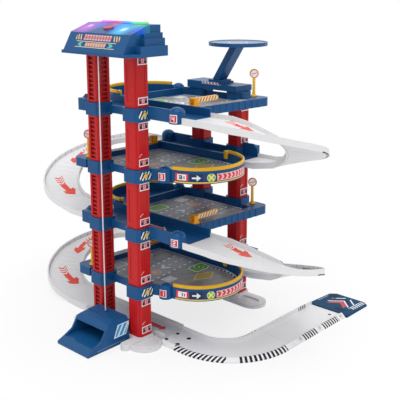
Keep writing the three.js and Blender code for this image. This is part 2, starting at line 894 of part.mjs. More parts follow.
function stadium(x, yNear, yFar, radius, heights) {
  const outline = [
    ...arcPoints(x, Math.max(yNear, yFar), radius, 0, 180, 8),
    ...arcPoints(x, Math.min(yNear, yFar), radius, 180, 360, 8),
  ];
  return prism(outline, heights);
}

function backFoot(sy) {
  const x = columnOffsetX;
  const y = sy * columnOffsetY;
  const loopX = x - backFootShiftX;
  const farY = y + sy * backFootReachY;
  const slotNearY = y + sy * (footBlockWidth / 2 + backFootSlotRadius);
  return joined([
    prism(squareOutline(x, y, footBlockWidth, collarChamfer), [0, footHeight]),
    stadium(loopX, y, farY, backFootRadius, [0, footDiscHeight]),
  ])
    .subtract(stadium(loopX, slotNearY, farY, backFootSlotRadius,
      [footDiscHeight - backFootSlotDepth, footDiscHeight + overrun]))
    .subtract(footSocket(x, y));
}

// Lift cab

function cabShell() {
  const side = [
    [-cabFrontX, cabBottom],
    [-cabRearX, cabBottom],
    [-cabRearX, cabHeight],
    [-cabRidgeFrontX, cabHeight],
    [-cabBrowX, cabBrowZ],
    [-cabMouthTopX, cabMouthTopZ],
    [-cabMouthMiddleX, cabMouthMiddleZ],
    [-cabMouthFootX, cabFloorTop],
    [-cabFrontX, cabLip],
  ];
  const chamfer = cabCornerChamfer;
  const end = [
    [-cabHalfWidth, cabBottom],
    [cabHalfWidth, cabBottom],
    [cabHalfWidth, cabHeight - chamfer],
    [cabHalfWidth - chamfer, cabHeight],
    [-cabHalfWidth + chamfer, cabHeight],
    [-cabHalfWidth, cabHeight - chamfer],
  ];
  const body = sidePrism(side, [-cabHalfWidth, cabHalfWidth])
    .intersect(endPrism(end, [-cabFrontX - overrun, -cabRearX + overrun]));
  const ridge = box([-cabRidgeFrontX, -cabRearX - cabWall], [-cabRidgeHalfWidth, cabRidgeHalfWidth],
    [cabHeight - overrun, cabHeight + cabRidgeHeight]);
  const boss = upright(-cordX, 0, cordBossRadius, [cabHeight, cabRidgeTop], smallSides);
  return joined([body, ridge, boss]);
}

function cabHollow() {
  const inside = cabHalfWidth - cabWall;
  const under = cabHeight - cabRoofThickness;
  const side = [
    [-cabFrontX - overrun, cabFloorTop],
    [-cabRearX - cabWall, cabFloorTop],
    [-cabRearX - cabWall, under],
    [-cabRidgeFrontX, under],
    [-cabBrowX, cabBrowZ - cabRoofThickness],
    [-cabMouthTopX - overrun, cabMouthTopZ - cabRoofThickness],
    [-cabFrontX - overrun, cabMouthTopZ - cabRoofThickness],
  ];
  return sidePrism(side, [-inside, inside]);
}

function liftCab() {
  const tongueInside = tongueHalfWidth - tongueWall;
  const tongueBody = box([-cabRearX - overrun, -tongueReachX], [-tongueHalfWidth, tongueHalfWidth],
    [cabBottom, tongueTop]);
  const way = box([-cabRearX - cabWall - overrun, -tongueReachX + overrun], [-tongueInside, tongueInside],
    [cabFloorTop, cabHeight - cabRoofThickness - overrun]);
  return joined([cabShell().subtract(cabHollow()), tongueBody]).subtract(way);
}

function hoistCord() {
  return upright(-cordX, 0, cordRadius, [cabRidgeTop + fitGap, cordTop], cordSides);
}

// Tower head

function headOutline(inset) {
  const bottom = inset > 0 ? headBottom - overrun : headBottom;
  return [
    [-headFrontX + inset, bottom],
    [-headBackX - inset, bottom],
    [-headBackX - inset, headTop - inset],
    [-crestX, headTop - inset],
    [-panelTopX + inset / 2, panelTopZ - inset],
    [-headFrontX + inset, headBottom + eaveHeight],
  ];
}

function buttonPlace() {
  const run = panelTopX - crestX;
  const rise = headTop - panelTopZ;
  const slope = Math.atan2(rise, run);
  const x = -(panelTopX + crestX) / 2;
  const z = (panelTopZ + headTop) / 2;
  return { x, z, slopeDeg: THREE.MathUtils.radToDeg(slope) };
}

function onSlope(solid) {
  const { x, z, slopeDeg } = buttonPlace();
  return solid.rotate([0, -slopeDeg, 0]).translate([x, 0, z]);
}

function oval(halfX, halfY, heights) {
  const geometry = new THREE.CylinderGeometry(1, 1, heights[1] - heights[0], roundSides);
  geometry.rotateX(Math.PI / 2);
  geometry.scale(halfX, halfY, 1);
  geometry.translate(0, 0, (heights[0] + heights[1]) / 2);
  return toSolid(geometry);
}

function roofShell() {
  const solids = [sidePrism(headOutline(0), [-headHalfWidth, headHalfWidth])];
  tierTopZ.forEach((top, i) => {
    const bottom = i === 0 ? headBottom : tierTopZ[i - 1] - overrun;
    solids.push(box([-tierFrontX[i], -headBackX], [-tierHalfWidth[i], tierHalfWidth[i]], [bottom, top]));
  });
  const eaveHalf = tierHalfWidth[0];
  const eaveOutline = [[-headFrontX, -headHalfWidth - eaveHeight], [-tierFrontX[0], -eaveHalf],
    [-headBackX, -eaveHalf], [-headBackX, eaveHalf], [-tierFrontX[0], eaveHalf],
    [-headFrontX, headHalfWidth + eaveHeight]];
  solids.push(prism(eaveOutline, [headBottom, headBottom + eaveHeight]));
  const hollows = [
    sidePrism(headOutline(headWall), [-headHalfWidth + headWall, headHalfWidth - headWall]),
    box([-tierFrontX[0] + headWall, -headBackX - headWall],
      [-tierHalfWidth[0] + headWall, tierHalfWidth[0] - headWall], [headBottom - overrun, tierTopZ[0] - headWall]),
    onSlope(oval(buttonHalfWidth + fitGap, buttonHalfLength + fitGap, [-2 * headWall, headWall])),
  ];
  return joined(solids).subtract(joined(hollows));
}

function roofBase() {
  const clear = headWall + fitGap;
  const plateHalf = tierHalfWidth[0] - clear;
  const front = headFrontX - clear;
  const wide = [-tierFrontX[0] + clear, -headBackX - clear];
  const plates = [
    box(wide, [-plateHalf, plateHalf], [headBottom, headBottom + basePlate]),
    box([-front, -headBackX - clear], [-headHalfWidth + clear, headHalfWidth - clear],
      [headBottom, headBottom + basePlate]),
  ];
  const socketTop = headBottom + spigotLength + fitGap;
  const cups = [-1, 1].map((sy) => prism(
    squareOutline(-columnOffsetX, sy * columnOffsetY, socketWidth + 2 * socketWall, socketChamfer),
    [headBottom, socketTop + basePlate / 2]));
  const cutSockets = [-1, 1].map((sy) => prism(
    squareOutline(-columnOffsetX, sy * columnOffsetY, socketWidth, socketChamfer),
    [headBottom - overrun, socketTop]));
  const bracketReach = drumHalfLength + drumFlange + fitGap;
  const bracket = box([-drumX - bracketWidth / 2, -drumX + bracketWidth / 2],
    [-bracketReach - bracketThickness, -bracketReach], [headBottom, drumZ + bracketWidth / 2]);
  const bore = crossBar(-drumX, drumZ, drumAxleRadius + fitGap, [-bracketReach - 2 * bracketThickness, 0]);
  const motorSeat = box([-drumX - motorWidth / 2, -drumX + motorWidth / 2],
    [motorStart() + fitGap, motorStart() + motorLength],
    [headBottom, drumZ - motorHeight / 2 - fitGap]);
  const door = box(
    [-columnOffsetX - batteryDoorWidth / 2 - fitGap, -columnOffsetX + batteryDoorWidth / 2 + fitGap],
    [-batteryDoorLength / 2 - fitGap, batteryDoorLength / 2 + fitGap],
    [headBottom - overrun, headBottom + batteryDoorThickness + fitGap]);
  const cordHole = upright(-cordX, 0, cordHoleRadius, [headBottom - overrun, headBottom + basePlate + overrun],
    smallSides);
  return joined([...plates, ...cups, bracket, motorSeat])
    .subtract(joined([...cutSockets, bore, door, cordHole]));
}

function motorStart() {
  return drumHalfLength + drumFlange + drumAxleLength + fitGap;
}

function windingDrum() {
  const reach = drumHalfLength + drumFlange;
  return joined([
    crossBar(-drumX, drumZ, drumRadius, [-reach, reach]),
    crossBar(-drumX, drumZ, drumFlangeRadius, [-reach, -drumHalfLength]),
    crossBar(-drumX, drumZ, drumFlangeRadius, [drumHalfLength, reach]),
    crossBar(-drumX, drumZ, drumAxleRadius, [-reach - drumAxleLength, reach + drumAxleLength]),
  ]);
}

function gearMotor() {
  return box([-drumX - motorWidth / 2, -drumX + motorWidth / 2], [motorStart(), motorStart() + motorLength],
    [drumZ - motorHeight / 2, drumZ + motorHeight / 2]);
}

function batteryDoor() {
  return box([-columnOffsetX - batteryDoorWidth / 2, -columnOffsetX + batteryDoorWidth / 2],
    [-batteryDoorLength / 2, batteryDoorLength / 2], [headBottom, headBottom + batteryDoorThickness]);
}

function lampLens() {
  const x1 = -headBackX - lensInset;
  const x0 = x1 - lensWidth;
  const z0 = headTop + fitGap;
  const half = lensHalfLength;
  const chamfer = lensHeight / 2;
  const end = [[-half, z0], [half, z0], [half - chamfer, z0 + lensHeight], [-half + chamfer, z0 + lensHeight]];
  const side = [[x0, z0], [x1, z0], [x1 - chamfer, z0 + lensHeight], [x0 + chamfer, z0 + lensHeight]];
  return endPrism(end, [x0 - overrun, x1 + overrun]).intersect(sidePrism(side, [-half - overrun, half + overrun]));
}

function callButton() {
  const under = -headWall - fitGap;
  return onSlope(joined([
    oval(buttonHalfWidth, buttonHalfLength, [under - overrun, buttonProud]),
    oval(buttonHalfWidth + buttonFlange, buttonHalfLength + buttonFlange, [under - buttonFlangeThickness, under]),
  ]));
}

// Helipad

function padTopZ() {
  return levelCount * levelPitch + fitGap + bridgeHeight + bridgePadHeight;
}

function helipadBridge() {
  const bottom = levelCount * levelPitch + fitGap;
  const top = bottom + bridgeHeight;
  const raised = box([bridgeNearX, bridgeFarX], [-bridgeStepY, bridgeLeftY], [bottom, top]);
  const lower = box([bridgeNearX, bridgeFarX], [-bridgeRightY, bridgeStepY], [bottom, top - bridgeStep]);
  const seat = box([columnOffsetX - bridgePadWidth / 2, columnOffsetX + bridgePadWidth / 2],
    [-bridgePadWidth / 2, bridgePadWidth / 2], [top - overrun, top + bridgePadHeight]);
  const spigots = [-1, 1].map((sy) => prism(
    squareOutline(columnOffsetX, sy * columnOffsetY, spigotWidth, spigotChamfer),
    [bottom - spigotLength, bottom + overrun]));
  const pinHole = upright(columnOffsetX, 0, padPinRadius + fitGap, [top - padPinLength, top + 2 * bridgePadHeight]);
  return joined([raised, lower, seat, ...spigots]).subtract(pinHole);
}

function helipad() {
  const foot = padTopZ() + fitGap;
  const top = foot + padHeight;
  const half = padArmThickness / 2;
  const arm = endPrism([[-half, foot], [half, foot], [half - padArmLean, top + overrun],
    [-half - padArmLean, top + overrun]], [columnOffsetX - padArmWidth / 2, columnOffsetX + padArmWidth / 2]);
  const pin = upright(columnOffsetX, 0, padPinRadius, [foot - padPinLength, foot + overrun]);
  const disc = upright(columnOffsetX, -padArmLean, padRadius, [top, top + padThickness], discSides);
  const rim = upright(columnOffsetX, -padArmLean, padRadius, [top + padThickness - overrun,
    top + padThickness + padRimHeight], discSides)
    .subtract(upright(columnOffsetX, -padArmLean, padRadius - padRimWidth, [top, top + 2 * padThickness],
      discSides));
  return joined([arm, pin, disc, rim]);
}

// Assembly

const garage = new THREE.Group();
const built = new THREE.Group();
built.position.set(originShiftX, 0, 0);
garage.add(built);

function addPiece(name, solid, look, place = {}) {
  const { x = 0, y = 0, z = 0, turn = 0, parent = built } = place;
  const mesh = new THREE.Mesh(toGeometry(solid), new THREE.MeshStandardMaterial(finish[look]));
  mesh.name = name;
  mesh.position.set(x, y, z);
  mesh.rotation.z = turn;
  parent.add(mesh);
  return mesh;
}

function addColumns() {
  const columns = [
    { name: "lift_column_right", sx: -1, sy: -1, racks: [1] },
    { name: "lift_column_left", sx: -1, sy: 1, racks: [2, 3] },
    { name: "back_column_left", sx: 1, sy: 1, racks: [] },
    { name: "back_column_right", sx: 1, sy: -1, racks: [] },
  ];
  for (const { name, sx, sy, racks } of columns) {
    const count = sx < 0 ? levelCount + 1 : levelCount;
    for (let i = 1; i <= count; i++) {
      const z0 = i === 1 ? footHeight + fitGap : (i - 1) * levelPitch + fitGap;
      const z1 = i > levelCount ? headBottom - fitGap : i * levelPitch - collarHeight - fitGap;
      const solid = columnSegment([z0, z1], spigotLength, racks);
      addPiece(`${name}_${i}`, solid, "red", { x: sx * columnOffsetX, y: sy * columnOffsetY });
    }
  }
}

function addStoreys() {
  const rail = balconyRail();
  const foot = gateFoot();
  const arm = gateArm();
  const sign = roadSign();
  for (let level = 1; level <= levelCount; level++) {
    const storey = new THREE.Group();
    storey.position.z = level * levelPitch;
    storey.rotation.z = level % 2 === 0 ? 0 : Math.PI;
    built.add(storey);
    addPiece(`deck_${level}`, deck(level % 2 === 0), "blue", { parent: storey });
    addPiece(`balcony_rail_${level}`, rail, "yellow", { parent: storey });
    addPiece(`gate_foot_${level}`, foot, "orange", { x: -gateX, y: -gateY, parent: storey });
    addPiece(`gate_arm_${level}`, arm, "orange", { x: -gateX, y: -gateY, parent: storey });
    addPiece(`road_sign_${level}`, sign, "yellow", { x: signX, y: -signY, parent: storey });
  }
}

function addTracks() {
  addPiece("track_4_to_3", storeyTrack(4), "grey");
  addPiece("track_3_to_2", storeyTrack(3), "grey");
  addPiece("track_2_to_1", storeyTrack(2), "grey");
  addPiece("track_1_to_ground", groundHairpin(), "grey");
  addPiece("ground_curve", groundCurve(), "grey");
  addPiece("exit_track", exitTrack(), "grey");
  addPiece("exit_ramp", exitRamp(), "blue");
}

function addFeet() {
  addPiece("foot_lift_right", liftFoot(-1), "grey");
  addPiece("foot_lift_left", liftFoot(1), "grey");
  addPiece("foot_back_right", backFoot(-1), "grey");
  addPiece("foot_back_left", backFoot(1), "grey");
}

function addLift() {
  addPiece("lift_cab", liftCab(), "blue");
  addPiece("hoist_cord", hoistCord(), "cord");
  addPiece("roof_shell", roofShell(), "blue");
  addPiece("roof_base", roofBase(), "blue");
  addPiece("winding_drum", windingDrum(), "grey");
  addPiece("gear_motor", gearMotor(), "metal");
  addPiece("battery_door", batteryDoor(), "blue");
  addPiece("lamp_lens", lampLens(), "lens");
  addPiece("call_button", callButton(), "red");
}

function addHelipad() {
  addPiece("helipad_bridge", helipadBridge(), "blue");
  addPiece("helipad", helipad(), "blue");
}

addColumns();
addStoreys();
addTracks();
addFeet();
addLift();
addHelipad();

export default garage;
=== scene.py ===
"""Looks of a toy parking garage with a lift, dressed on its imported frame.

Every length is in metres unless its name ends in _MM. Outlines, and places in the shaders, are in
millimetres. A storey's own frame has its zero at the top of the collars, and odd storeys are turned half
round. The garage's own frame has its zero on the ground, midway between the columns.
"""

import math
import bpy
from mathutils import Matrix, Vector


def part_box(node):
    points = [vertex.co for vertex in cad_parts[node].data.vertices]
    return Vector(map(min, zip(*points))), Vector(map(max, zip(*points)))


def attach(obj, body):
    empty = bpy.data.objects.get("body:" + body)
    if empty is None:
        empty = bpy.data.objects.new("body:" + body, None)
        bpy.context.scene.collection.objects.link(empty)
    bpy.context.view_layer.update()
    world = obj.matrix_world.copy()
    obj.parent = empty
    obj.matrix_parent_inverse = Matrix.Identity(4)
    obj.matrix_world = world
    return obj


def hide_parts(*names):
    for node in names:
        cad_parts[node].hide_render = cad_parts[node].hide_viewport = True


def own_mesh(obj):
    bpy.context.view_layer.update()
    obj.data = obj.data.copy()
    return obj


bl_info = {
    "name": "Toy Parking Garage",
    "version": (1, 0, 0),
    "blender": (4, 5, 0),
    "location": "View3D > Sidebar > Garage",
    "description": "Mouldings, stickers, lamps, cord and studio of a toy parking garage",
    "category": "Add Mesh",
}

import bmesh
import bpy
from bpy.props import FloatProperty, FloatVectorProperty, PointerProperty
from mathutils import Matrix, Vector

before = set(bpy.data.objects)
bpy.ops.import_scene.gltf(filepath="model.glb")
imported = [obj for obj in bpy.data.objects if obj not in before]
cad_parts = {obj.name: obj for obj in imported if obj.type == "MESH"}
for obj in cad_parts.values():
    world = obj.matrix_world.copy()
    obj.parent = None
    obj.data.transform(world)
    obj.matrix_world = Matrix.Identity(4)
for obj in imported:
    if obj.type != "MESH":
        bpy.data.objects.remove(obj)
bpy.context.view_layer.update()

# Places read from the frame

MM = 0.001
STOREYS = (1, 2, 3, 4)


def middle(node):
    low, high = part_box(node)
    return (low + high) / 2


def lowest(node):
    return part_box(node)[0]


def highest(node):
    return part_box(node)[1]


LIFT_COLUMN_X = middle("lift_column_right_2").x
BACK_COLUMN_X = middle("back_column_right_2").x
CENTRE_X = (LIFT_COLUMN_X + BACK_COLUMN_X) / 2
PITCH = lowest("deck_2").z - lowest("deck_1").z
COLUMN_Y_MM = abs(middle("lift_column_right_2").y) / MM
COLUMN_X_MM = (BACK_COLUMN_X - LIFT_COLUMN_X) / 2 / MM
COLUMN_HALF_MM = (highest("lift_column_right_2").x - LIFT_COLUMN_X) / MM

# Sizes of the moulding that the stickers and prints follow, in a storey's own frame

FLOOR_MM = -12.0
COLLAR_HEIGHT_MM = 17.5
COLLAR_HALF_MM = 15.0
ROAD_EDGE_MM = -44.5
ROAD_WALL_MM = 2.5
BALCONY_CENTRE_MM = (21.0, 70.0)
BALCONY_RADIUS_MM = 62.0
BALCONY_WALL_MM = (-16.0, 1.0)
RAIL_RADIUS_MM = 60.75
RAIL_FOOT_MM = 1.3
DECK_EDGE_MM = 93.0
EDGE_SLANT_MM = 12.0
WING_CENTRE_MM = 96.0
BEAM_TOP_MM = -4.0
TRACK_RADIUS_MM = 69.5
TRACK_HALF_MM = 27.5
TURN_CENTRE_MM = 148.0
SIGN_MM = (94.0, -72.0)
SIGN_HEIGHT_MM = 29.0
SIGN_RADIUS_MM = 6.5
GATE_MM = (-35.0, -75.0, 4.5)

# Sizes in the garage's own frame

CURVE_CENTRE_MM = (-2.0, -107.0)
CURVE_RADIUS_MM = 68.0
EXIT_Y_MM = -175.0
GROUND_FLOOR_MM = 3.0


def deck_edge(x):
    """Where the slanting front edge of a deck runs, in millimetres."""
    share = (WING_CENTRE_MM - x) / (WING_CENTRE_MM - ROAD_EDGE_MM - ROAD_WALL_MM)
    return EDGE_SLANT_MM * share - DECK_EDGE_MM


def shifted(matrix, x=0.0, y=0.0, z=0.0):
    return matrix @ Matrix.Translation((x, y, z))


def storey_matrix(level):
    """From a storey's own millimetres to the row frame."""
    turn = Matrix.Rotation(math.pi if level % 2 else 0.0, 4, "Z")
    return Matrix.Translation((CENTRE_X, 0.0, PITCH * level)) @ turn @ Matrix.Scale(MM, 4)


GARAGE_ORIGIN = (CENTRE_X, 0.0, 0.0)
GARAGE_MATRIX = Matrix.Translation(GARAGE_ORIGIN) @ Matrix.Scale(MM, 4)

# Values that a user would change


def colour_value(name, description, default):
    return FloatVectorProperty(
        name=name, description=description, subtype="COLOR", size=3, min=0.0, max=1.0, default=default
    )


class GarageColours(bpy.types.PropertyGroup):
    """Colours of the mouldings and prints."""

    blue: colour_value("Blue", "Decks, head, cab and ramp", (0.007, 0.082, 0.235))
    red: colour_value("Red", "Columns", (0.56, 0.01, 0.012))
    grey: colour_value("Grey", "Tracks and feet", (0.75, 0.75, 0.76))
    yellow: colour_value("Yellow", "Rails and sign posts", (0.8, 0.45, 0.025))
    orange: colour_value("Orange", "Barrier feet", (0.93, 0.38, 0.005))
    white: colour_value("White", "White print", (0.88, 0.88, 0.88))
    ink: colour_value("Ink", "Dark print", (0.006, 0.008, 0.02))
    asphalt: colour_value("Asphalt", "Printed road surface", (0.29, 0.29, 0.285))
    cord: colour_value("Cord", "Hoist cord", (0.84, 0.84, 0.86))


class GarageSizes(bpy.types.PropertyGroup):
    """Sizes of what the scene adds to the frame."""

    edge: FloatProperty(
        name="Edge", description="Radius that moulded edges seem to have", default=0.0007, unit="LENGTH"
    )
    sticker: FloatProperty(
        name="Sticker", description="Thickness of a sticker", default=0.00018, unit="LENGTH"
    )
    cord: FloatProperty(
        name="Cord", description="Radius of the hoist cord", default=0.0009, unit="LENGTH"
    )


class GarageStudio(bpy.types.PropertyGroup):
    """The studio round the garage."""

    key: FloatProperty(name="Key", description="Power of the large lamp", default=33.0, unit="POWER")
    fill: FloatProperty(name="Fill", description="Power of the fill lamp", default=4.0, unit="POWER")
    ambient: FloatProperty(name="Ambient", description="Strength of the sky", default=0.77)
    lens: FloatProperty(name="Lens", description="Focal length on a 36 mm sensor, in mm", default=68.19)
    shift: FloatProperty(name="Shift", description="Upward shift of the picture", default=-0.12)


def chosen(name):
    """A colour as the user has set it."""
    return tuple(getattr(bpy.context.scene.garage_colours, name))


def times(colour, factor):
    return tuple(min(1.0, part * factor) for part in colour)


# Sums of shader sockets


def sums(operation, swapped=False):
    """A method that makes the math node of a wire and another value."""

    def method(self, other):
        values = (other, self) if swapped else (self, other)
        return self.look.math(operation, *values)

    return method


class Wire:
    """One output of a node, for use in sums."""

    __add__ = sums("ADD")
    __radd__ = sums("ADD", swapped=True)
    __sub__ = sums("SUBTRACT")
    __rsub__ = sums("SUBTRACT", swapped=True)
    __mul__ = sums("MULTIPLY")
    __truediv__ = sums("DIVIDE")
    __lt__ = sums("LESS_THAN")
    __gt__ = sums("GREATER_THAN")
    __or__ = sums("MAXIMUM")

    def __init__(self, look, socket):
        self.look = look
        self.socket = socket

    def __abs__(self):
        return self.look.math("ABSOLUTE", self)

    def within(self, low, high):
        """1 from low to high, and 0 elsewhere."""
        return self.look.math("COMPARE", self, (low + high) / 2, (high - low) / 2)

    def held(self, low, high):
        """This value, held between low and high."""
        return self.look.math("MINIMUM", self, high) | low

    def part(self, pitch):
        """How far this is into its own step of pitch, from 0 to 1."""
        return self.look.math("FRACT", self / pitch)


class Nodes:
    """A node tree, with the place on the surface in millimetres."""

    def __init__(self, tree):
        self.tree = tree

    def wire(self, kind, settings=None, values=None, output=0):
        """Makes a node: its settings first, then the values or wires of its sockets."""
        node = self.tree.nodes.new(kind)
        for name, value in (settings or {}).items():
            if name == "stops":
                set_stops(node.color_ramp, value)
            else:
                setattr(node, name, value)
        for socket, value in (values or {}).items():
            self.join(value, node.inputs[socket])
        return Wire(self, node.outputs[output])

    def join(self, value, socket):
        if isinstance(value, Wire):
            self.tree.links.new(value.socket, socket)
        else:
            socket.default_value = value

    def math(self, operation, *values):
        return self.wire("ShaderNodeMath", {"operation": operation}, dict(enumerate(values)))

    def vector(self, operation, first, second, output=0):
        values = {0: first, 1: second}
        return self.wire("ShaderNodeVectorMath", {"operation": operation}, values, output)

    def split(self, vector):
        """The three parts of a vector."""
        node = self.tree.nodes.new("ShaderNodeSeparateXYZ")
        self.join(vector, node.inputs[0])
        return [Wire(self, node.outputs[i]) for i in range(3)]

    def mix(self, share, first, second):
        """A colour from first, where share is 0, to second, where it is 1."""
        sockets = {0: share, 6: opaque(first), 7: opaque(second)}
        return self.wire("ShaderNodeMix", {"data_type": "RGBA"}, sockets, 2)

    def object_point(self):
        return self.wire("ShaderNodeTexCoord", output="Object")

    def moved(self, origin=GARAGE_ORIGIN):
        """The place in millimetres from an origin in the row frame."""
        point = self.vector("SUBTRACT", self.object_point(), origin)
        return self.split(self.vector("MULTIPLY", point, (1 / MM, 1 / MM, 1 / MM)))

    def printed(self):
        """The place on a sticker in millimetres, as its mesh holds it."""
        place = self.wire("ShaderNodeAttribute", {"attribute_name": "print"}, output="Vector")
        return self.split(place)

    def noise(self, scale, detail=3.0, roughness=0.55, stretch=(1, 1, 1)):
        """Noise from 0 to 1 that is fixed to the piece."""
        point = self.vector("MULTIPLY", self.object_point(), stretch)
        values = {"Vector": point, "Scale": scale, "Detail": detail, "Roughness": roughness}
        return self.wire("ShaderNodeTexNoise", values=values)

    def bump(self, strength, depth, height, **more):
        values = {"Strength": strength, "Distance": depth, "Height": height, **more}
        return self.wire("ShaderNodeBump", values=values)

    def ramp(self, value, stops):
        return self.wire("ShaderNodeValToRGB", {"stops": stops}, {0: value})


class Look(Nodes):
    """The nodes of one material, which gathers a colour, a roughness and a normal for its shader."""

    def __init__(self, name):
        self.material = bpy.data.materials.new(name)
        self.material.use_nodes = True
        super().__init__(self.material.node_tree)
        self.shader = self.tree.nodes["Principled BSDF"]

    def set(self, name, value):
        self.join(value, self.shader.inputs[name])

    def paint(self, share, colour, duller=0.0):
        """Lays a colour over what the look has so far: a print, or painted shade or highlight."""
        self.colour = self.mix(share, self.colour, colour)
        if duller:
            self.roughness = self.roughness + share * duller

    def close(self, coat=0.0, glow=None, glow_strength=0.0):
        """Joins what the look has gathered to its shader."""
        self.set("Base Color", self.colour)
        self.set("Roughness", self.roughness)
        self.set("Normal", self.normal)
        self.set("Coat Weight", coat)
        if glow is not None:
            self.set("Emission Color", glow)
            self.set("Emission Strength", glow_strength)
        return self.material


def set_stops(ramp, stops):
    while len(ramp.elements) < len(stops):
        ramp.elements.new(1.0)
    for element, (place, colour) in zip(ramp.elements, stops):
        element.position = place
        element.color = opaque(colour)


def opaque(colour):
    return colour if isinstance(colour, Wire) else (*tuple(colour)[:3], 1.0)


# Marks on a surface, each 1 inside and 0 outside


def patch(u, v, across, up):
    return u.within(*across) * v.within(*up)


def digit(u, v, value, centre, half, stroke):
    """A number from 1 to 4 made of straight strokes."""
    wide, tall = half
    du = u - centre[0]
    dv = v - centre[1]
    strokes = {
        "a": ((-wide, wide), (tall - stroke, tall)),
        "b": ((wide - stroke, wide), (0.0, tall)),
        "c": ((wide - stroke, wide), (-tall, 0.0)),
        "d": ((-wide, wide), (-tall, stroke - tall)),
        "e": ((-wide, stroke - wide), (-tall, 0.0)),
        "f": ((-wide, stroke - wide), (0.0, tall)),
        "g": ((-wide, wide), (-stroke / 2, stroke / 2)),
    }
    marks = None
    for name in ("bc", "abged", "abgcd", "fgbc")[value - 1]:
        mark = patch(du, dv, *strokes[name])
        marks = mark if marks is None else marks | mark
    return marks


def length_of(du, dv):
    return du.look.math("SQRT", du * du + dv * dv)


def distance(u, v, centre=(0.0, 0.0)):
    return length_of(u - centre[0], v - centre[1])


def disc(u, v, centre, radius):
    return distance(u, v, centre) < radius


def ring(u, v, centre, inner, outer):
    return distance(u, v, centre).within(inner, outer)


def stripes(value, pitch, share):
    return value.part(pitch) < share


def bordering(edge):
    """1 on the border of a plate."""
    return edge > 0.02


def frame_of(u, v, across, up, width):
    """The border of a rectangle."""
    inside = patch(u, v, (across[0] + width, across[1] - width), (up[0] + width, up[1] - width))
    return patch(u, v, across, up) - inside


def seen(look):
    """1 for rays from the camera, a mirror or a window, and 0 for the light on things."""
    kinds = ("Camera", "Glossy", "Transmission")
    rays = [look.wire("ShaderNodeLightPath", output=f"Is {kind} Ray") for kind in kinds]
    return rays[0] | rays[1] | rays[2]


# Finishes

RED_ROUGHNESS = 0.34
BLUE_ROUGHNESS = 0.33
YELLOW_ROUGHNESS = 0.3
GREY_ROUGHNESS = 0.4
PLAIN_COAT = 0.05
MOULDED_COAT = 0.1
MOULDED_SPECULAR = 0.16
CLOUDING = (0.93, 1.07)
# Paler edges: partly wear, partly painted highlight
WEAR_AND_HIGHLIGHT = 0.12
WEAR_AND_HIGHLIGHT_GAIN = 1.6
WORN_AND_LIT_PALENESS = 0.25
GRAIN_DEPTH = 0.0004
FILM_SPECULAR = 0.22
RAMP_SPECULAR = 0.05
FILM_COAT = 0.05
CAD_SPLIT_DEG = 32.0
ROUND_SPLIT_DEG = 40.0


def moulded(name, colour, roughness, wear_and_highlight=WEAR_AND_HIGHLIGHT):
    """Moulded plastic: faint clouding, paler edges that are partly wear and partly painted highlight,
    fine grain and a little handling dullness.
    """
    look = Look(name)
    cloud = look.noise(14.0, 2.0)
    shade = look.mix(cloud, *(times(colour, factor) for factor in CLOUDING))
    radius = bpy.context.scene.garage_sizes.edge
    edge = look.wire("ShaderNodeBevel", {"samples": 4}, {"Radius": radius})
    flat = look.wire("ShaderNodeNewGeometry", output="Normal")
    meet = look.vector("DOT_PRODUCT", edge, flat, "Value")
    # Painted highlight and wear: the edges are painted paler, as rubbed plastic and as the light they
    # catch
    worn_and_lit = look.math("MINIMUM", (1.0 - meet) * WEAR_AND_HIGHLIGHT_GAIN, wear_and_highlight)
    pale = tuple(part + (1 - part) * WORN_AND_LIT_PALENESS for part in colour)
    look.colour = look.mix(worn_and_lit, shade, pale)
    smudge = look.noise(38.0, 4.0, 0.65)
    scratch = look.noise(55.0, 2.0, 0.5, (1.0, 9.0, 3.0))
    grain = look.noise(900.0, 2.0)
    look.roughness = roughness - 0.06 + smudge * 0.09 + scratch * 0.05
    look.normal = look.bump(0.05, GRAIN_DEPTH, grain * 0.4 + scratch * 0.25, Normal=edge)
    look.set("Specular IOR Level", MOULDED_SPECULAR)
    return look


def plain_plastic(name, colour, roughness, wear_and_highlight=WEAR_AND_HIGHLIGHT):
    return moulded(name, colour, roughness, wear_and_highlight).close(PLAIN_COAT)


def film(name):
    """The ground of a printed sticker: smooth film with a slight ripple."""
    look = Look(name)
    look.set("Specular IOR Level", FILM_SPECULAR)
    look.roughness = 0.36 + look.noise(45.0) * 0.1
    look.normal = look.bump(0.04, GRAIN_DEPTH, look.noise(160.0, 2.0))
    return look


def dress(node, material):
    """Gives a CAD node its finish."""
    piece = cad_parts[node]
    piece.data.materials.clear()
    piece.data.materials.append(material)
    smooth(piece, CAD_SPLIT_DEG)


def smooth(piece, degrees=ROUND_SPLIT_DEG):
    """Smooth faces that meet in a sharp edge above an angle."""
    piece.data.shade_smooth()
    edges = piece.modifiers.new("smooth", "EDGE_SPLIT")
    edges.split_angle = math.radians(degrees)


# Meshes


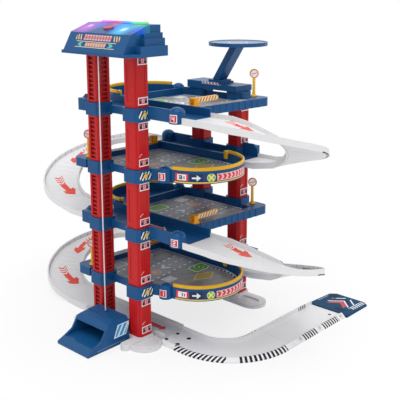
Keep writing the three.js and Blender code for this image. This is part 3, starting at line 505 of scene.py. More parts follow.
class Sheets:
    """Collects plates and bands of one piece, with the place of each point on its print."""

    def __init__(self):
        self.sticker = bpy.context.scene.garage_sizes.sticker / MM
        self.points = []
        self.faces = []
        self.prints = []

    def plate(self, outline, matrix, border=0.0, thickness=None):
        """A flat outline raised by a thickness; the third part of its print is over 0 on the border."""
        thickness = thickness or self.sticker
        first = len(self.points)
        count = len(outline)
        loops = [(outline, 0.0, 1.0), (outline, thickness, 1.0)]
        if border:
            loops.append((inset(outline, border), thickness, 0.0))
        for loop, height, edge in loops:
            for u, v in loop:
                self.points.append(matrix @ Vector((u, v, height)))
                self.prints.append((u, v, edge if border else 0.0))
        last = first + (len(loops) - 1) * count
        self.faces.append([first + i for i in reversed(range(count))])
        self.faces.append([last + i for i in range(count)])
        for low in range(first, last, count):
            for i in range(count):
                j = (i + 1) % count
                self.faces.append([low + i, low + j, low + count + j, low + count + i])

    def band(self, centre, radius, angles, heights, matrix, steps):
        """A curved band on a round wall, with its print measured along the arc from its start."""
        first = len(self.points)
        start, end = (math.radians(a) for a in angles)
        for i in range(steps + 1):
            angle = start + (end - start) * i / steps
            along = radius * (angle - start)
            for r in (radius, radius + self.sticker):
                for z in heights:
                    x = centre[0] + r * math.cos(angle)
                    y = centre[1] + r * math.sin(angle)
                    self.points.append(matrix @ Vector((x, y, z)))
                    self.prints.append((along, z - heights[0], r - radius))
        for i in range(steps):
            a = first + 4 * i
            b = a + 4
            self.faces += [
                [a, a + 1, b + 1, b],
                [a + 2, b + 2, b + 3, a + 3],
                [a, b, b + 2, a + 2],
                [a + 1, a + 3, b + 3, b + 1],
            ]
        last = first + 4 * steps
        self.faces += [[first, first + 2, first + 3, first + 1], [last, last + 1, last + 3, last + 2]]

    def make(self, name, material, slot=None):
        return solid_piece(name, (self.points, self.faces), material, prints=self.prints)


def solid_piece(name, shape, material, matrix=Matrix(), prints=None):
    """A piece that rides with the garage, from the points and faces of its shape."""
    points, faces = shape
    mesh = bpy.data.meshes.new(name)
    mesh.from_pydata([tuple(matrix @ p) for p in points], [], faces)
    if prints is not None:
        held = mesh.attributes.new("print", "FLOAT_VECTOR", "POINT")
        held.data.foreach_set("vector", [value for place in prints for value in place])
    turned_out(mesh)
    mesh.materials.append(material)
    piece = bpy.data.objects.new(name, mesh)
    bpy.context.scene.collection.objects.link(piece)
    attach(piece, "garage")
    return piece


def turned_out(mesh):
    """Makes all faces look outwards."""
    work = bmesh.new()
    work.from_mesh(mesh)
    bmesh.ops.recalc_face_normals(work, faces=work.faces)
    work.to_mesh(mesh)
    work.free()


def arc(centre, radius, start, end, steps):
    points = []
    for i in range(steps + 1):
        angle = math.radians(start + (end - start) * i / steps)
        points.append((centre[0] + radius * math.cos(angle), centre[1] + radius * math.sin(angle)))
    return points


def inset(outline, width):
    """The outline moved inwards by a width; it runs anticlockwise."""
    points = []
    count = len(outline)
    for i in range(count):
        before, here, after = (Vector(outline[(i + k) % count]) for k in (-1, 0, 1))
        first = (here - before).normalized()
        second = (after - here).normalized()
        lean = Vector((-first.y - second.y, first.x + second.x))
        points.append(tuple(here + lean * (width / max(0.3, 1.0 + first.dot(second)))))
    return points


def chamfered(across, up, cut):
    """A rectangle with its corners cut off, drawn anticlockwise."""
    (a, b), (c, d) = across, up
    low = [(a + cut, c), (b - cut, c), (b, c + cut), (b, d - cut)]
    return low + [(b - cut, d), (a + cut, d), (a, d - cut), (a, c + cut)]


def rectangle(across, up):
    return [(across[0], up[0]), (across[1], up[0]), (across[1], up[1]), (across[0], up[1])]


def swept(stations, section):
    """The shape of a section carried along stations of (place, side, up)."""
    points = []
    for place, side, up in stations:
        for across, height in section:
            points.append(place + side * across + up * height)
    count = len(section)
    faces = []
    for i in range(len(stations) - 1):
        for j in range(count):
            k = (j + 1) % count
            faces.append([i * count + j, i * count + k, (i + 1) * count + k, (i + 1) * count + j])
    faces.append(list(reversed(range(count))))
    last = (len(stations) - 1) * count
    faces.append([last + j for j in range(count)])
    return points, faces


def turned(profile, centre, sides):
    """The shape of a profile of (radius, height), from axis to axis, turned round an upright axis."""
    inner = profile[1:-1]
    points = [Vector((*centre, profile[0][1])), Vector((*centre, profile[-1][1]))]
    for i in range(sides):
        angle = 2 * math.pi * i / sides
        for r, z in inner:
            points.append(Vector((centre[0] + r * math.cos(angle), centre[1] + r * math.sin(angle), z)))
    count = len(inner)
    faces = []
    for i in range(sides):
        a = 2 + i * count
        b = 2 + (i + 1) % sides * count
        faces.append([0, b, a])
        faces.append([1, a + count - 1, b + count - 1])
        for j in range(count - 1):
            faces.append([a + j, b + j, b + j + 1, a + j + 1])
    return points, faces


def joined(shapes):
    """One shape from several."""
    points = []
    faces = []
    for more, loops in shapes:
        first = len(points)
        points += more
        faces += [[first + i for i in loop] for loop in loops]
    return points, faces


# Pieces


class GARAGE_OT_columns(bpy.types.Operator):
    """Red columns, with painted shade inside their racks"""

    bl_idname = "garage.columns"
    bl_label = "Columns"

    FRAME_MM = 1.7

    def execute(self, context):
        plain = plain_plastic("red_plastic", chosen("red"), RED_ROUGHNESS)
        shaded_racks = self.shaded_racks(chosen("red"))
        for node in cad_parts:
            if "column" in node:
                dress(node, shaded_racks if node.startswith("lift_column") else plain)
        return {"FINISHED"}

    def shaded_racks(self, red):
        """The racks lie deep in the column, so their channels are painted darker than its faces, as
        painted shade.
        """
        look = moulded("red_rack_plastic", red, RED_ROUGHNESS)
        x, y, _ = look.moved((LIFT_COLUMN_X, 0.0, 0.0))
        reach = COLUMN_HALF_MM - self.FRAME_MM
        rack_shade = (abs(x) < reach) * (abs(abs(y) - COLUMN_Y_MM) < reach)
        # Painted shade in the rack channels
        look.paint(rack_shade * 0.55, times(red, 0.26))
        return look.close(MOULDED_COAT)


class GARAGE_OT_column_stickers(bpy.types.Operator):
    """White-framed marks above and below each collar, and the striped marks on the collars"""

    bl_idname = "garage.column_stickers"
    bl_label = "Column stickers"

    WIDTH_MM = 16.8
    HEIGHT_MM = 9.8
    OVER_FOOT_MM = 12.5
    OVER_COLLAR_MM = 4.0
    UNDER_COLLAR_MM = 1.0
    UNDER_HEAD_MM = 1.5
    CARD_MM = (19.8, 10.6)
    CARD_RISE_MM = 3.5
    GLINT_CENTRE_MM = (-0.6, 8.2)
    GLINT_RADII_MM = (9.2, 8.2)
    GLINT_DEG = (106.0, 148.0)

    def execute(self, context):
        frames = Sheets()
        hazards = Sheets()
        glints = Sheets()
        half = self.WIDTH_MM / 2
        mark = rectangle((-half, half), (0.0, self.HEIGHT_MM))
        half = self.CARD_MM[0] / 2
        card = rectangle((-half, half), (0.0, self.CARD_MM[1]))
        centre = self.GLINT_CENTRE_MM
        outer, inner = (arc(centre, radius, *self.GLINT_DEG, 6) for radius in self.GLINT_RADII_MM)
        glint = outer + inner[::-1]
        for x_side in (-1, 1):
            for y_side in (-1, 1):
                for level in (0, *STOREYS):
                    face = self.face(x_side, y_side, level, COLUMN_HALF_MM)
                    rises = self.rises(level, x_side < 0)
                    for rise in rises:
                        frames.plate(mark, shifted(face, y=rise))
                    if level < 4:
                        # A painted glint at the upper corner of the first mark
                        glints.plate(glint, shifted(face, y=rises[0]))
                    shouldered = y_side > 0 and level % 2 == 0
                    if level and x_side < 0 and not shouldered:
                        collar = self.face(x_side, y_side, level, COLLAR_HALF_MM)
                        hazards.plate(card, shifted(collar, y=self.CARD_RISE_MM - COLLAR_HEIGHT_MM))
        glints.make("column_glints", self.glint_mark())
        frames.make("column_marks", self.frame_mark())
        hazards.make("collar_marks", self.hazard_mark())
        return {"FINISHED"}

    def rises(self, level, in_tower):
        """How high the marks of one storey start, over its collar's top or over the ground."""
        if level == 0:
            head = lowest("roof_base").z / MM - self.UNDER_HEAD_MM - self.HEIGHT_MM
            return [self.OVER_FOOT_MM, head] if in_tower else [self.OVER_FOOT_MM]
        below = -COLLAR_HEIGHT_MM - self.UNDER_COLLAR_MM - self.HEIGHT_MM
        return [self.OVER_COLLAR_MM, below] if level < 4 or in_tower else [below]

    def face(self, x_side, y_side, level, half):
        """The outward face of a column or collar: u across it, v up, w out of it."""
        across = Vector((-y_side, 0, 0))
        out = Vector((0, y_side, 0))
        basis = Matrix((across, (0, 0, 1), out)).transposed().to_4x4()
        origin = (x_side * COLUMN_X_MM, y_side * (COLUMN_Y_MM + half), PITCH / MM * level)
        return shifted(GARAGE_MATRIX, *origin) @ basis

    def glint_mark(self):
        """Painted glints: small pale arcs at the upper corner of each mark."""
        look = film("glint_mark")
        look.colour = look.mix(look.noise(200.0), (0.8, 0.42, 0.4), (0.9, 0.62, 0.6))
        return look.close(FILM_COAT)

    def frame_mark(self):
        """A pink square between two dark ones in a white frame."""
        look = film("framed_mark")
        u, v, _ = look.printed()
        look.colour = (0.62, 0.05, 0.07)
        for across, up, colour in (
            ((3.1, 6.8), (1.7, 8.1), chosen("ink")),
            ((4.2, 5.6), (5.2, 7.4), (0.55, 0.3, 0.36)),
            ((0.0, 2.4), (2.3, 7.5), (0.86, 0.42, 0.46)),
            ((0.0, 0.5), (3.0, 6.8), (0.55, 0.07, 0.1)),
        ):
            look.paint(patch(abs(u), v, across, up), colour)
        half = self.WIDTH_MM / 2
        look.paint(frame_of(u, v, (-half, half), (0.0, self.HEIGHT_MM), 1.2), chosen("white"))
        return look.close(FILM_COAT)

    def hazard_mark(self):
        """Slanted dark and white bars with a yellow diamond over them."""
        look = film("hazard_mark")
        u, v, _ = look.printed()
        look.colour = look.mix(stripes(u - v * 0.6 + 1.4, 5.6, 0.52), chosen("ink"), chosen("white"))
        up = abs(v - self.CARD_MM[1] / 2)
        diamond = abs(u) * 0.95 + up * 1.05
        look.paint(diamond < 4.9, chosen("ink"))
        look.paint(diamond < 4.1, (0.85, 0.6, 0.12))
        look.paint((abs(u) + up * 0.3) > 10.6, chosen("blue"))
        return look.close(FILM_COAT)


class GARAGE_OT_decks(bpy.types.Operator):
    """Blue decks, the bridge and the helipad with its pale landing face"""

    bl_idname = "garage.decks"
    bl_label = "Decks"

    ROW_MM = (-6.6, -2.6)
    PAD_FACE = (0.17, 0.27, 0.42)
    PAD_LINE = (0.6, 0.66, 0.76)
    PAD_CROSS = (0.75, 0.2, 0.16)
    PAD_RIM_MM = 2.4
    CROSS_MM = (7.0, 1.8)

    def execute(self, context):
        # The decks take a large share of the paler edge colour, as painted highlights on their ribs
        material = plain_plastic("blue_plastic", chosen("blue"), BLUE_ROUGHNESS, 0.3)
        for node in (*(f"deck_{level}" for level in STOREYS), "roof_base", "battery_door"):
            dress(node, material)
        dress("helipad_bridge", self.bridge())
        dress("helipad", self.pad())
        return {"FINISHED"}

    def bridge(self):
        """Blue, with a short row of pale and pink chevrons on the face towards the tower."""
        look = moulded("bridge_plastic", chosen("blue"), BLUE_ROUGHNESS)
        origin = (lowest("helipad_bridge").x, 0.0, highest("helipad_bridge").z)
        x, y, z = look.moved(origin)
        low, high = self.ROW_MM
        row = (abs(x) < 0.6) * z.within(low, high) * y.within(-18.0, 20.0)
        lean = y + abs(z - (low + high) / 2) * 1.2
        look.paint(row * stripes(lean, 6.4, 0.42), (0.72, 0.76, 0.86))
        look.paint(row * stripes(lean + 3.2, 6.4, 0.24), (0.75, 0.3, 0.36))
        return look.close(MOULDED_COAT)

    def pad(self):
        """A pale grey face with rings and a plain cross, in the raised blue rim."""
        look = moulded("helipad_plastic", chosen("blue"), BLUE_ROUGHNESS)
        low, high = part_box("helipad")
        x, y, z = look.moved(((low.x + high.x) / 2, (low.y + high.y) / 2, high.z))
        radius = (high.y - low.y) / 2 / MM
        off = distance(x, y)
        face = (off < radius - self.PAD_RIM_MM) * z.within(-self.PAD_RIM_MM, 0.3)
        look.paint(face, self.PAD_FACE)
        for inner, outer in ((radius - 7.5, radius - 5.0), (12.0, 14.5)):
            look.paint(face * off.within(inner, outer), self.PAD_LINE)
        long, short = ((-1.0, reach) for reach in self.CROSS_MM)
        cross = patch(abs(x), abs(y), long, short) | patch(abs(x), abs(y), short, long)
        look.paint(face * cross, self.PAD_CROSS)
        return look.close(MOULDED_COAT)


class GARAGE_OT_deck_prints(bpy.types.Operator):
    """The printed parking floors: asphalt, lanes, a green, a parking box, a hatched field and a sign"""

    bl_idname = "garage.deck_prints"
    bl_label = "Deck prints"

    BORDER_MM = 2.0
    LANE_LEAN = 0.12
    # The floor's outline: off the front edge, its corners, and its far end where there is no balcony
    OFF_EDGE_MM = 13.6
    LEFT_MM = ROAD_EDGE_MM + 6.0
    RIGHT_MM = 78.4
    CORNERS_MM = ((78.4, -62.5), (85.4, -62.5), (85.4, 18.0), (80.0, 50.0))
    PLAIN_END_MM = ((44.0, 51.5), (41.0, 58.4), (LEFT_MM, 58.4))
    BEAM_MM = (-27.0, 58.0)
    BEAM_STRIP_MM = (0.9, 12.9)
    # The broad arrow along each road, drawn anticlockwise, its place and the width of its white edge
    ARROW_MM = ((0, -21), (11.5, -7), (5.5, -8.5), (6.5, 16), (-6.5, 16), (-5.5, -8.5), (-11.5, -7))
    ARROW_PLACE_MM = (-65, -30)
    ARROW_EDGE_MM = 1.4
    # Middles of the parking box, the badge and the green on even and on odd storeys
    CENTRES_MM = (
        ((56.0, 37.0), (52.0, 7.0), (3.0, 34.0)),
        ((44.0, 35.5), (40.0, 2.0), (-17.0, 35.5)),
    )
    LANE_MM = (-21.0, 14.0)
    FAR_ROW_MM = -47.0
    BAYS_MM = (-74.0, -50.0)
    # Half width, half height and cut of the corners, of the kerb and of the lawn in it
    KERB_MM = (16.0, 11.5, 24.0)
    LAWN_MM = (14.0, 9.5, 20.5)
    HATCHED_MM = (2.0, 63.0)

    def execute(self, context):
        arrows = Sheets()
        for level in STOREYS:
            place = storey_matrix(level)
            floor = shifted(place, z=FLOOR_MM)
            sheet = Sheets()
            sheet.plate(self.outline(level), floor, self.BORDER_MM)
            sheet.plate(self.beam_outline(), shifted(place, z=BEAM_TOP_MM))
            sheet.make(f"deck_print_{level}", self.floor_print(level))
            arrows.plate(self.ARROW_MM, shifted(floor, *self.ARROW_PLACE_MM), self.ARROW_EDGE_MM)
        ground = shifted(GARAGE_MATRIX, *self.ARROW_PLACE_MM, GROUND_FLOOR_MM)
        arrows.plate(self.ARROW_MM, ground, self.ARROW_EDGE_MM)
        arrows.make("road_arrows", self.arrow_print())
        return {"FINISHED"}

    def outline(self, level):
        """The floor inside its walls, collars and posts."""
        front = [(x, deck_edge(x) + self.OFF_EDGE_MM) for x in (self.LEFT_MM, self.RIGHT_MM)]
        if level % 2 == 0:
            return [*front, *self.CORNERS_MM, *self.PLAIN_END_MM]
        rim = arc(BALCONY_CENTRE_MM, BALCONY_RADIUS_MM - 5.2, -3.0, 172.0, 40)
        return [*front, *self.CORNERS_MM, *rim, (self.LEFT_MM, 66.0)]

    def beam_outline(self):
        """A strip on top of the front beam, from the barrier to the wing."""
        low, high = self.BEAM_STRIP_MM
        front = [(x, deck_edge(x) + low) for x in self.BEAM_MM]
        return front + [(x, deck_edge(x) + high) for x in reversed(self.BEAM_MM)]

    def arrow_print(self):
        look = film("road_arrow_print")
        _, v, edge = look.printed()
        border = bordering(edge)
        look.colour = look.mix(border, (0.78, 0.06, 0.07), chosen("white"))
        look.paint((1.0 - border) * stripes(v, 8.0, 0.2) * 0.5, (0.85, 0.35, 0.3))
        return look.close(FILM_COAT)

    def floor_print(self, level):
        look = film(f"floor_print_{level}")
        u, v, edge = look.printed()
        asphalt = chosen("asphalt")
        look.colour = look.mix(look.noise(1300.0, 2.0, 0.8), times(asphalt, 0.55), times(asphalt, 1.5))
        look.paint((look.noise(60.0, 1.0) > 0.56) * 0.35, (0.09, 0.085, 0.1))
        self.lane(look, u, v - u * self.LANE_LEAN)
        self.bays(look, u, v)
        box, badge, green = self.CENTRES_MM[level % 2]
        self.parking_box(look, u, v, box)
        self.badge(look, u, v, badge)
        self.green(look, u, v, green)
        if level % 2:
            self.hatched(look, u, v)
        look.paint(bordering(edge), (0.78, 0.82, 0.88))
        return look.close(0.04)

    def lane(self, look, u, lean):
        """A pale lane between two rows of short ticks, with a broken line in its middle."""
        bright = (0.9, 0.9, 0.92)
        look.paint(lean.within(*self.LANE_MM) * 0.6, (0.44, 0.44, 0.46))
        for row in (*self.LANE_MM, self.FAR_ROW_MM):
            look.paint(lean.within(row - 1.5, row + 1.5) * stripes(u + row, 12.4, 0.4), bright)
        off = lean + 4.2
        look.paint(lean.within(-5.1, -3.3) * stripes(u, 14.5, 0.48), bright)
        look.paint((abs(off) + (u - 17.0) * 0.75).within(-0.5, 5.2) * u.within(11.0, 25.0), bright)

    def bays(self, look, u, v):
        """Parking bays along the front edge."""
        bay = v.within(*self.BAYS_MM)
        look.paint(bay * 0.5, (0.38, 0.38, 0.41))
        look.paint(bay * stripes(u + 8.0, 26.0, 0.06), (0.86, 0.86, 0.9))
        look.paint(v.within(-51.0, -49.4), (0.8, 0.8, 0.84))
        look.paint(patch(u, v, (-30.0, -9.0), (-70.0, -55.0)) * 0.7, (0.42, 0.4, 0.52))
        look.paint(patch(u, v, (-32.0, 4.0), (-50.0, -47.5)), (0.03, 0.03, 0.05))

    def green(self, look, u, v, centre):
        """A lawn with a pale kerb."""
        slant = u - (v - centre[1]) * 0.1
        du = abs(slant - centre[0])
        dv = abs(v - centre[1])
        grass = look.mix(look.noise(420.0, 2.0), (0.06, 0.3, 0.015), (0.2, 0.52, 0.04))
        for (wide, tall, cut), colour in ((self.KERB_MM, (0.74, 0.86, 0.62)), (self.LAWN_MM, grass)):
            look.paint(patch(du, dv, (-1.0, wide), (-1.0, tall)) * ((du + dv) < cut), colour)

    def parking_box(self, look, u, v, centre):
        """A white field with a grey frame in it."""
        du = u - centre[0]
        dv = v - centre[1]
        look.paint(patch(abs(du), abs(dv), (-1.0, 9.5), (-1.0, 8.0)), (0.82, 0.82, 0.8))
        look.paint(frame_of(du, dv, (-6.5, 6.5), (-5.2, 5.2), 1.1), (0.48, 0.48, 0.5))

    def badge(self, look, u, v, centre):
        """A round sign with plain rings."""
        look.paint(disc(u, v, centre, 9.6), (0.83, 0.62, 0.5))
        look.paint(ring(u, v, centre, 4.6, 7.6), (0.74, 0.33, 0.2))
        look.paint(patch(u - centre[0], v - centre[1], (-3.4, 3.4), (-1.1, 1.1)), (0.86, 0.5, 0.36))

    def hatched(self, look, u, v):
        """A field crossed by yellow lines, near the rim of the balcony, and a chequered edge."""
        off = abs(u - self.HATCHED_MM[0]) * 0.62 + abs(v - self.HATCHED_MM[1])
        field = off < 13.5
        look.paint(field, (0.2, 0.15, 0.06))
        look.paint(field * stripes(u - v * 0.2, 3.9, 0.56), (0.72, 0.5, 0.1))
        look.paint(field - (off < 11.8), (0.8, 0.66, 0.2))
        faint = patch(u, v, (20.0, 38.0), (52.0, 66.0)) * stripes(u + v, 3.6, 0.4)
        look.paint(faint * 0.6, (0.5, 0.4, 0.1))
        chequer = ring(u, v, BALCONY_CENTRE_MM, 51.5, 54.5) * (u < -4.0)
        look.paint(chequer, (0.02, 0.02, 0.03))
        look.paint(chequer * stripes(v - u * 0.5, 7.0, 0.5), (0.8, 0.8, 0.82))


class GARAGE_OT_balcony_bands(bpy.types.Operator):
    """The printed band round each balcony: signs, slanted bars and a yellow line"""

    bl_idname = "garage.balcony_bands"
    bl_label = "Balcony bands"

    ANGLES_DEG = (13.0, 128.0)
    HEIGHTS_MM = (BALCONY_WALL_MM[0] + 1.2, BALCONY_WALL_MM[1] - 3.6)
    HEIGHT_MM = HEIGHTS_MM[1] - HEIGHTS_MM[0]
    ROUND_SIGN_MM = (49.0, HEIGHT_MM / 2 + 1.0)
    BANNER_MM = (57.0, 113.0)

    def execute(self, context):
        for level in STOREYS:
            sheet = Sheets()
            wall = (BALCONY_CENTRE_MM, BALCONY_RADIUS_MM, self.ANGLES_DEG, self.HEIGHTS_MM)
            sheet.band(*wall, storey_matrix(level), 72)
            sheet.make(f"balcony_band_{level}", self.band_print(level))
        return {"FINISHED"}

    def band_print(self, level):
        look = film(f"band_print_{level}")
        u, v, _ = look.printed()
        look.colour = (0.022, 0.05, 0.16)
        self.number_card(look, u, v, level)
        self.arrow_card(look, u, v)
        self.round_sign(look, u, v)
        self.chevrons(look, u, v)
        look.paint(v < 1.5, (0.86, 0.62, 0.08))
        look.paint(v.within(1.5, 2.0), (0.02, 0.03, 0.08))
        return look.close(FILM_COAT)

    def number_card(self, look, u, v, level):
        """A white card in a red border with the storey's number."""
        height = self.HEIGHT_MM
        look.paint(patch(u, v, (1.5, 19.0), (2.4, height)), (0.72, 0.05, 0.05))
        look.paint(patch(u, v, (4.2, 16.4), (3.5, height - 1.0)), chosen("white"))
        centre = (8.8, (height + 2.5) / 2)
        look.paint(digit(u, v, level, centre, (2.4, (height - 7.0) / 2), 1.4), (0.02, 0.03, 0.1))
        look.paint(patch(u, v, (12.8, 14.4), (5.0, 9.0)), (0.1, 0.2, 0.3))

    def arrow_card(self, look, u, v):
        """A dark card with a pale arrow."""
        look.paint(patch(u, v, (21.0, 38.0), (2.4, self.HEIGHT_MM)), (0.015, 0.03, 0.09))
        dv = abs(v - (self.HEIGHT_MM / 2 + 0.8))
        head = (u + dv * 1.3).within(28.0, 35.5) * (u > 30.0)
        shaft = patch(u, dv, (24.0, 30.5), (-1.1, 1.1))
        look.paint(head | shaft, (0.78, 0.84, 0.9))

    def round_sign(self, look, u, v):
        """A green disc with a pale cross and rim."""
        look.paint(disc(u, v, self.ROUND_SIGN_MM, 5.6), (0.25, 0.5, 0.1))
        across = abs(u - self.ROUND_SIGN_MM[0])
        up = abs(v - self.ROUND_SIGN_MM[1])
        look.paint((abs(across - up) < 1.1) * (across + up < 7.0), (0.9, 0.86, 0.3))
        look.paint(ring(u, v, self.ROUND_SIGN_MM, 4.9, 5.6), (0.8, 0.8, 0.35))

    def chevrons(self, look, u, v):
        """A banner of red chevrons with pale outlines, and a few bars after it."""
        height = self.HEIGHT_MM
        start, end = self.BANNER_MM
        lean = u + abs(v - (height / 2 + 1.2)) * 0.7
        banner = patch(u, v, self.BANNER_MM, (2.6, height - 0.4))
        look.paint(banner, (0.86, 0.5, 0.52))
        look.paint(banner * stripes(lean, 7.4, 0.78), (0.9, 0.74, 0.74))
        inside = patch(u, v, (start + 1.0, end - 1.0), (3.4, height - 1.2))
        look.paint(inside * stripes(lean - 0.7, 7.4, 0.6), (0.76, 0.04, 0.06))
        tail = patch(u, v, (end, end + 9.0), (2.4, height))
        look.paint(tail * stripes(u + v, 3.6, 0.5), (0.45, 0.66, 0.84))


class GARAGE_OT_posts(bpy.types.Operator):
    """Smooth round caps on the number posts of the decks, with their stickers"""

    bl_idname = "garage.posts"
    bl_label = "Number posts"

    # Centre, radius, foot and top of each post, and the way its number faces
    POSTS = {
        "road": ((-93.0, -101.0), 10.5, -14.6, 5.8, 196.0),
        "balcony": ((85.0, 70.0), 9.0, -16.1, 4.3, 16.0),
    }
    CAP_GAP_MM = 0.12
    MARK_GAP_MM = 0.14
    SHOULDER_MM = -3.0
    MARK_MM = (10.4, 10.2)
    MARK_HEIGHTS_MM = (-12.8, -2.6)
    ROUNDING_STEPS = 10

    def execute(self, context):
        blue = plain_plastic("blue_post_plastic", chosen("blue"), 0.26)
        for level in STOREYS:
            place = storey_matrix(level)
            marks = Sheets()
            for name, (centre, radius, foot, top, facing) in self.POSTS.items():
                cap = turned(self.profile(radius + self.CAP_GAP_MM, foot, top), centre, 40)
                smooth(solid_piece(f"{name}_post_{level}", cap, blue, place))
                half = math.degrees(self.MARK_MM[0] / 2 / radius)
                wall = (centre, radius + self.MARK_GAP_MM, (facing - half, facing + half))
                marks.band(*wall, self.MARK_HEIGHTS_MM, place, 8)
            marks.make(f"post_marks_{level}", self.number_mark(level))
        return {"FINISHED"}

    def profile(self, radius, foot, top):
        """An upright wall under a rounded top."""
        quarter = arc((0.0, 0.0), 1.0, 0.0, 90.0, self.ROUNDING_STEPS)[:-1]
        rise = top - self.SHOULDER_MM
        rounding = [(radius * x, self.SHOULDER_MM + rise * y) for x, y in quarter]
        return [(0.0, foot), (radius, foot), *rounding, (0.0, top)]

    def number_mark(self, level):
        """A red card with a white border and the storey's number."""
        look = film(f"number_mark_{level}")
        u, v, _ = look.printed()
        wide, tall = self.MARK_MM
        look.colour = (0.62, 0.03, 0.05)
        look.paint(frame_of(u, v, (0.0, wide), (0.0, tall), 0.9), chosen("white"))
        look.paint(digit(u, v, level, (wide / 2, tall / 2), (1.9, 3.0), 1.0), (0.8, 0.86, 0.95))
        return look.close(FILM_COAT)


class GARAGE_OT_rails(bpy.types.Operator):
    """Yellow balcony rails with a clip at their end, as smooth bars"""

    bl_idname = "garage.rails"
    bl_label = "Balcony rails"

    ANGLES_DEG = (10.0, 180.0)
    STEPS = 84
    HALF_WIDTH_MM = 1.5
    HEIGHT_MM = 4.5
    CLIP_HEIGHT_MM = 3.7
    CLIP_ARM_MM = (-39.75, -34.1)
    CLIP_POST_MM = (-37.7, -34.1)
    CLIP_ACROSS_MM = (67.0, 73.0)
    CLIP_FOOT_MM = -6.0

    def execute(self, context):
        material = plain_plastic("yellow_plastic", chosen("yellow"), YELLOW_ROUGHNESS)
        bar = swept(self.stations(), self.section())
        for level in STOREYS:
            place = storey_matrix(level)
            rail = solid_piece(f"smooth_rail_{level}", bar, material, place)
            smooth(rail)
            clip = self.clip(place).make(f"rail_clip_{level}", material, "yellow")
            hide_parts(f"balcony_rail_{level}")
            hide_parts(f"balcony_rail_{level}")
        return {"FINISHED"}

    def clip(self, place):
        """A short arm on the rail's end and a post below it."""
        made = Sheets()
        arm = chamfered(self.CLIP_ARM_MM, self.CLIP_ACROSS_MM, 0.5)
        made.plate(arm, shifted(place, z=RAIL_FOOT_MM), thickness=self.CLIP_HEIGHT_MM)
        post = chamfered(self.CLIP_POST_MM, self.CLIP_ACROSS_MM, 0.8)
        drop = RAIL_FOOT_MM - self.CLIP_FOOT_MM
        made.plate(post, shifted(place, z=self.CLIP_FOOT_MM), thickness=drop)
        return made

    def stations(self):
        centre = Vector((*BALCONY_CENTRE_MM, 0))
        sides = [Vector((*way, 0)) for way in arc((0.0, 0.0), 1.0, *self.ANGLES_DEG, self.STEPS)]
        return [(centre + side * RAIL_RADIUS_MM, side, Vector((0, 0, 1))) for side in sides]

    def section(self):
        """A flat foot with a rounded top."""
        half = self.HALF_WIDTH_MM
        shoulder = RAIL_FOOT_MM + self.HEIGHT_MM - half
        top = arc((0.0, shoulder), half, 0.0, 180.0, 8)
        return [(-half, RAIL_FOOT_MM), (half, RAIL_FOOT_MM), *top]


class GARAGE_OT_gates(bpy.types.Operator):
    """Orange barrier feet and their striped arms"""

    bl_idname = "garage.gates"
    bl_label = "Barrier gates"

    HUB_MM = 5.0
    STRIPED_MM = (7.5, 45.0)

    def execute(self, context):
        foot = plain_plastic("orange_plastic", chosen("orange"), YELLOW_ROUGHNESS)
        for level in STOREYS:
            dress(f"gate_foot_{level}", foot)
            dress(f"gate_arm_{level}", self.arm(level))
        return {"FINISHED"}

    def arm(self, level):
        look = moulded(f"striped_arm_{level}", (0.93, 0.56, 0.2), 0.34)
        x, _, z = look.moved(tuple(storey_matrix(level) @ Vector(GATE_MM)))
        along = x * (-1 if level % 2 else 1)
        bars = stripes(along - z * 0.6 + 1.0, 5.8, 0.46)
        look.paint(along < self.HUB_MM, chosen("orange"))
        field = along.within(*self.STRIPED_MM) * abs(z).within(-1.0, 2.9)
        look.paint(bars * field, (0.52, 0.16, 0.01))
        look.paint((1.0 - bars) * field, (0.94, 0.72, 0.42))
        return look.close(0.15)


class GARAGE_OT_signs(bpy.types.Operator):
    """Round road signs on yellow posts"""

    bl_idname = "garage.signs"
    bl_label = "Road signs"

    TURN_DEG = -45.0
    FOOT_MM = -3.7
    # Radius and height over the foot along the post, up to its shaft
    POST_MM = ((0.0, 0.0), (4.5, 0.0), (4.5, 1.2), (3.9, 2.0), (2.5, 3.0), (2.1, 4.6))
    # How far the plate's outline lies inside its radius and off its middle, on its front half
    PLATE_MM = ((1.5, 0.9), (1.3, 1.4), (0.3, 1.4), (0.0, 1.1))

    def execute(self, context):
        yellow = plain_plastic("yellow_sign_plastic", chosen("yellow"), 0.32)
        face = self.face_print()
        stand = Matrix.Rotation(math.radians(90.0), 4, "X")
        turn = Matrix.Rotation(math.radians(self.TURN_DEG), 4, "Z")
        post = turned(self.post_profile(), (0.0, 0.0), 24)
        plate = turned(self.plate_profile(), (0.0, 0.0), 40)
        for level in STOREYS:
            place = shifted(storey_matrix(level), *SIGN_MM)
            upright = shifted(place, z=SIGN_HEIGHT_MM) @ turn @ stand
            made = (
                solid_piece(f"sign_post_{level}", post, yellow, place),
                solid_piece(f"sign_plate_{level}", plate, face, upright, plate[0]),
            )
            for piece in made:
                smooth(piece)
                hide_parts(f"road_sign_{level}")
        return {"FINISHED"}

    def post_profile(self):
        top = SIGN_HEIGHT_MM - SIGN_RADIUS_MM + 1.0
        foot = [(radius, self.FOOT_MM + height) for radius, height in self.POST_MM]
        return foot + [(2.0, top - 0.6), (1.6, top), (0.0, top)]

    def plate_profile(self):
        """A thick disc with a raised rim on both faces."""
        half = [(SIGN_RADIUS_MM - inside, off) for inside, off in self.PLATE_MM]
        face = half[0][1]
        back = [(radius, -off) for radius, off in half]
        return [(0.0, -face), *back, *reversed(half), (0.0, face)]

    def face_print(self):
        """A white disc in an orange rim with a slanted dark bar."""
        look = film("sign_print")
        u, v, _ = look.printed()
        off = distance(u, v)
        look.colour = look.mix(off < 4.9, (0.8, 0.22, 0.05), chosen("white"))
        look.paint((off < 4.0) * abs(v - u * 0.25).within(-1.0, 0.55), (0.5, 0.16, 0.1))
        return look.close(FILM_COAT)


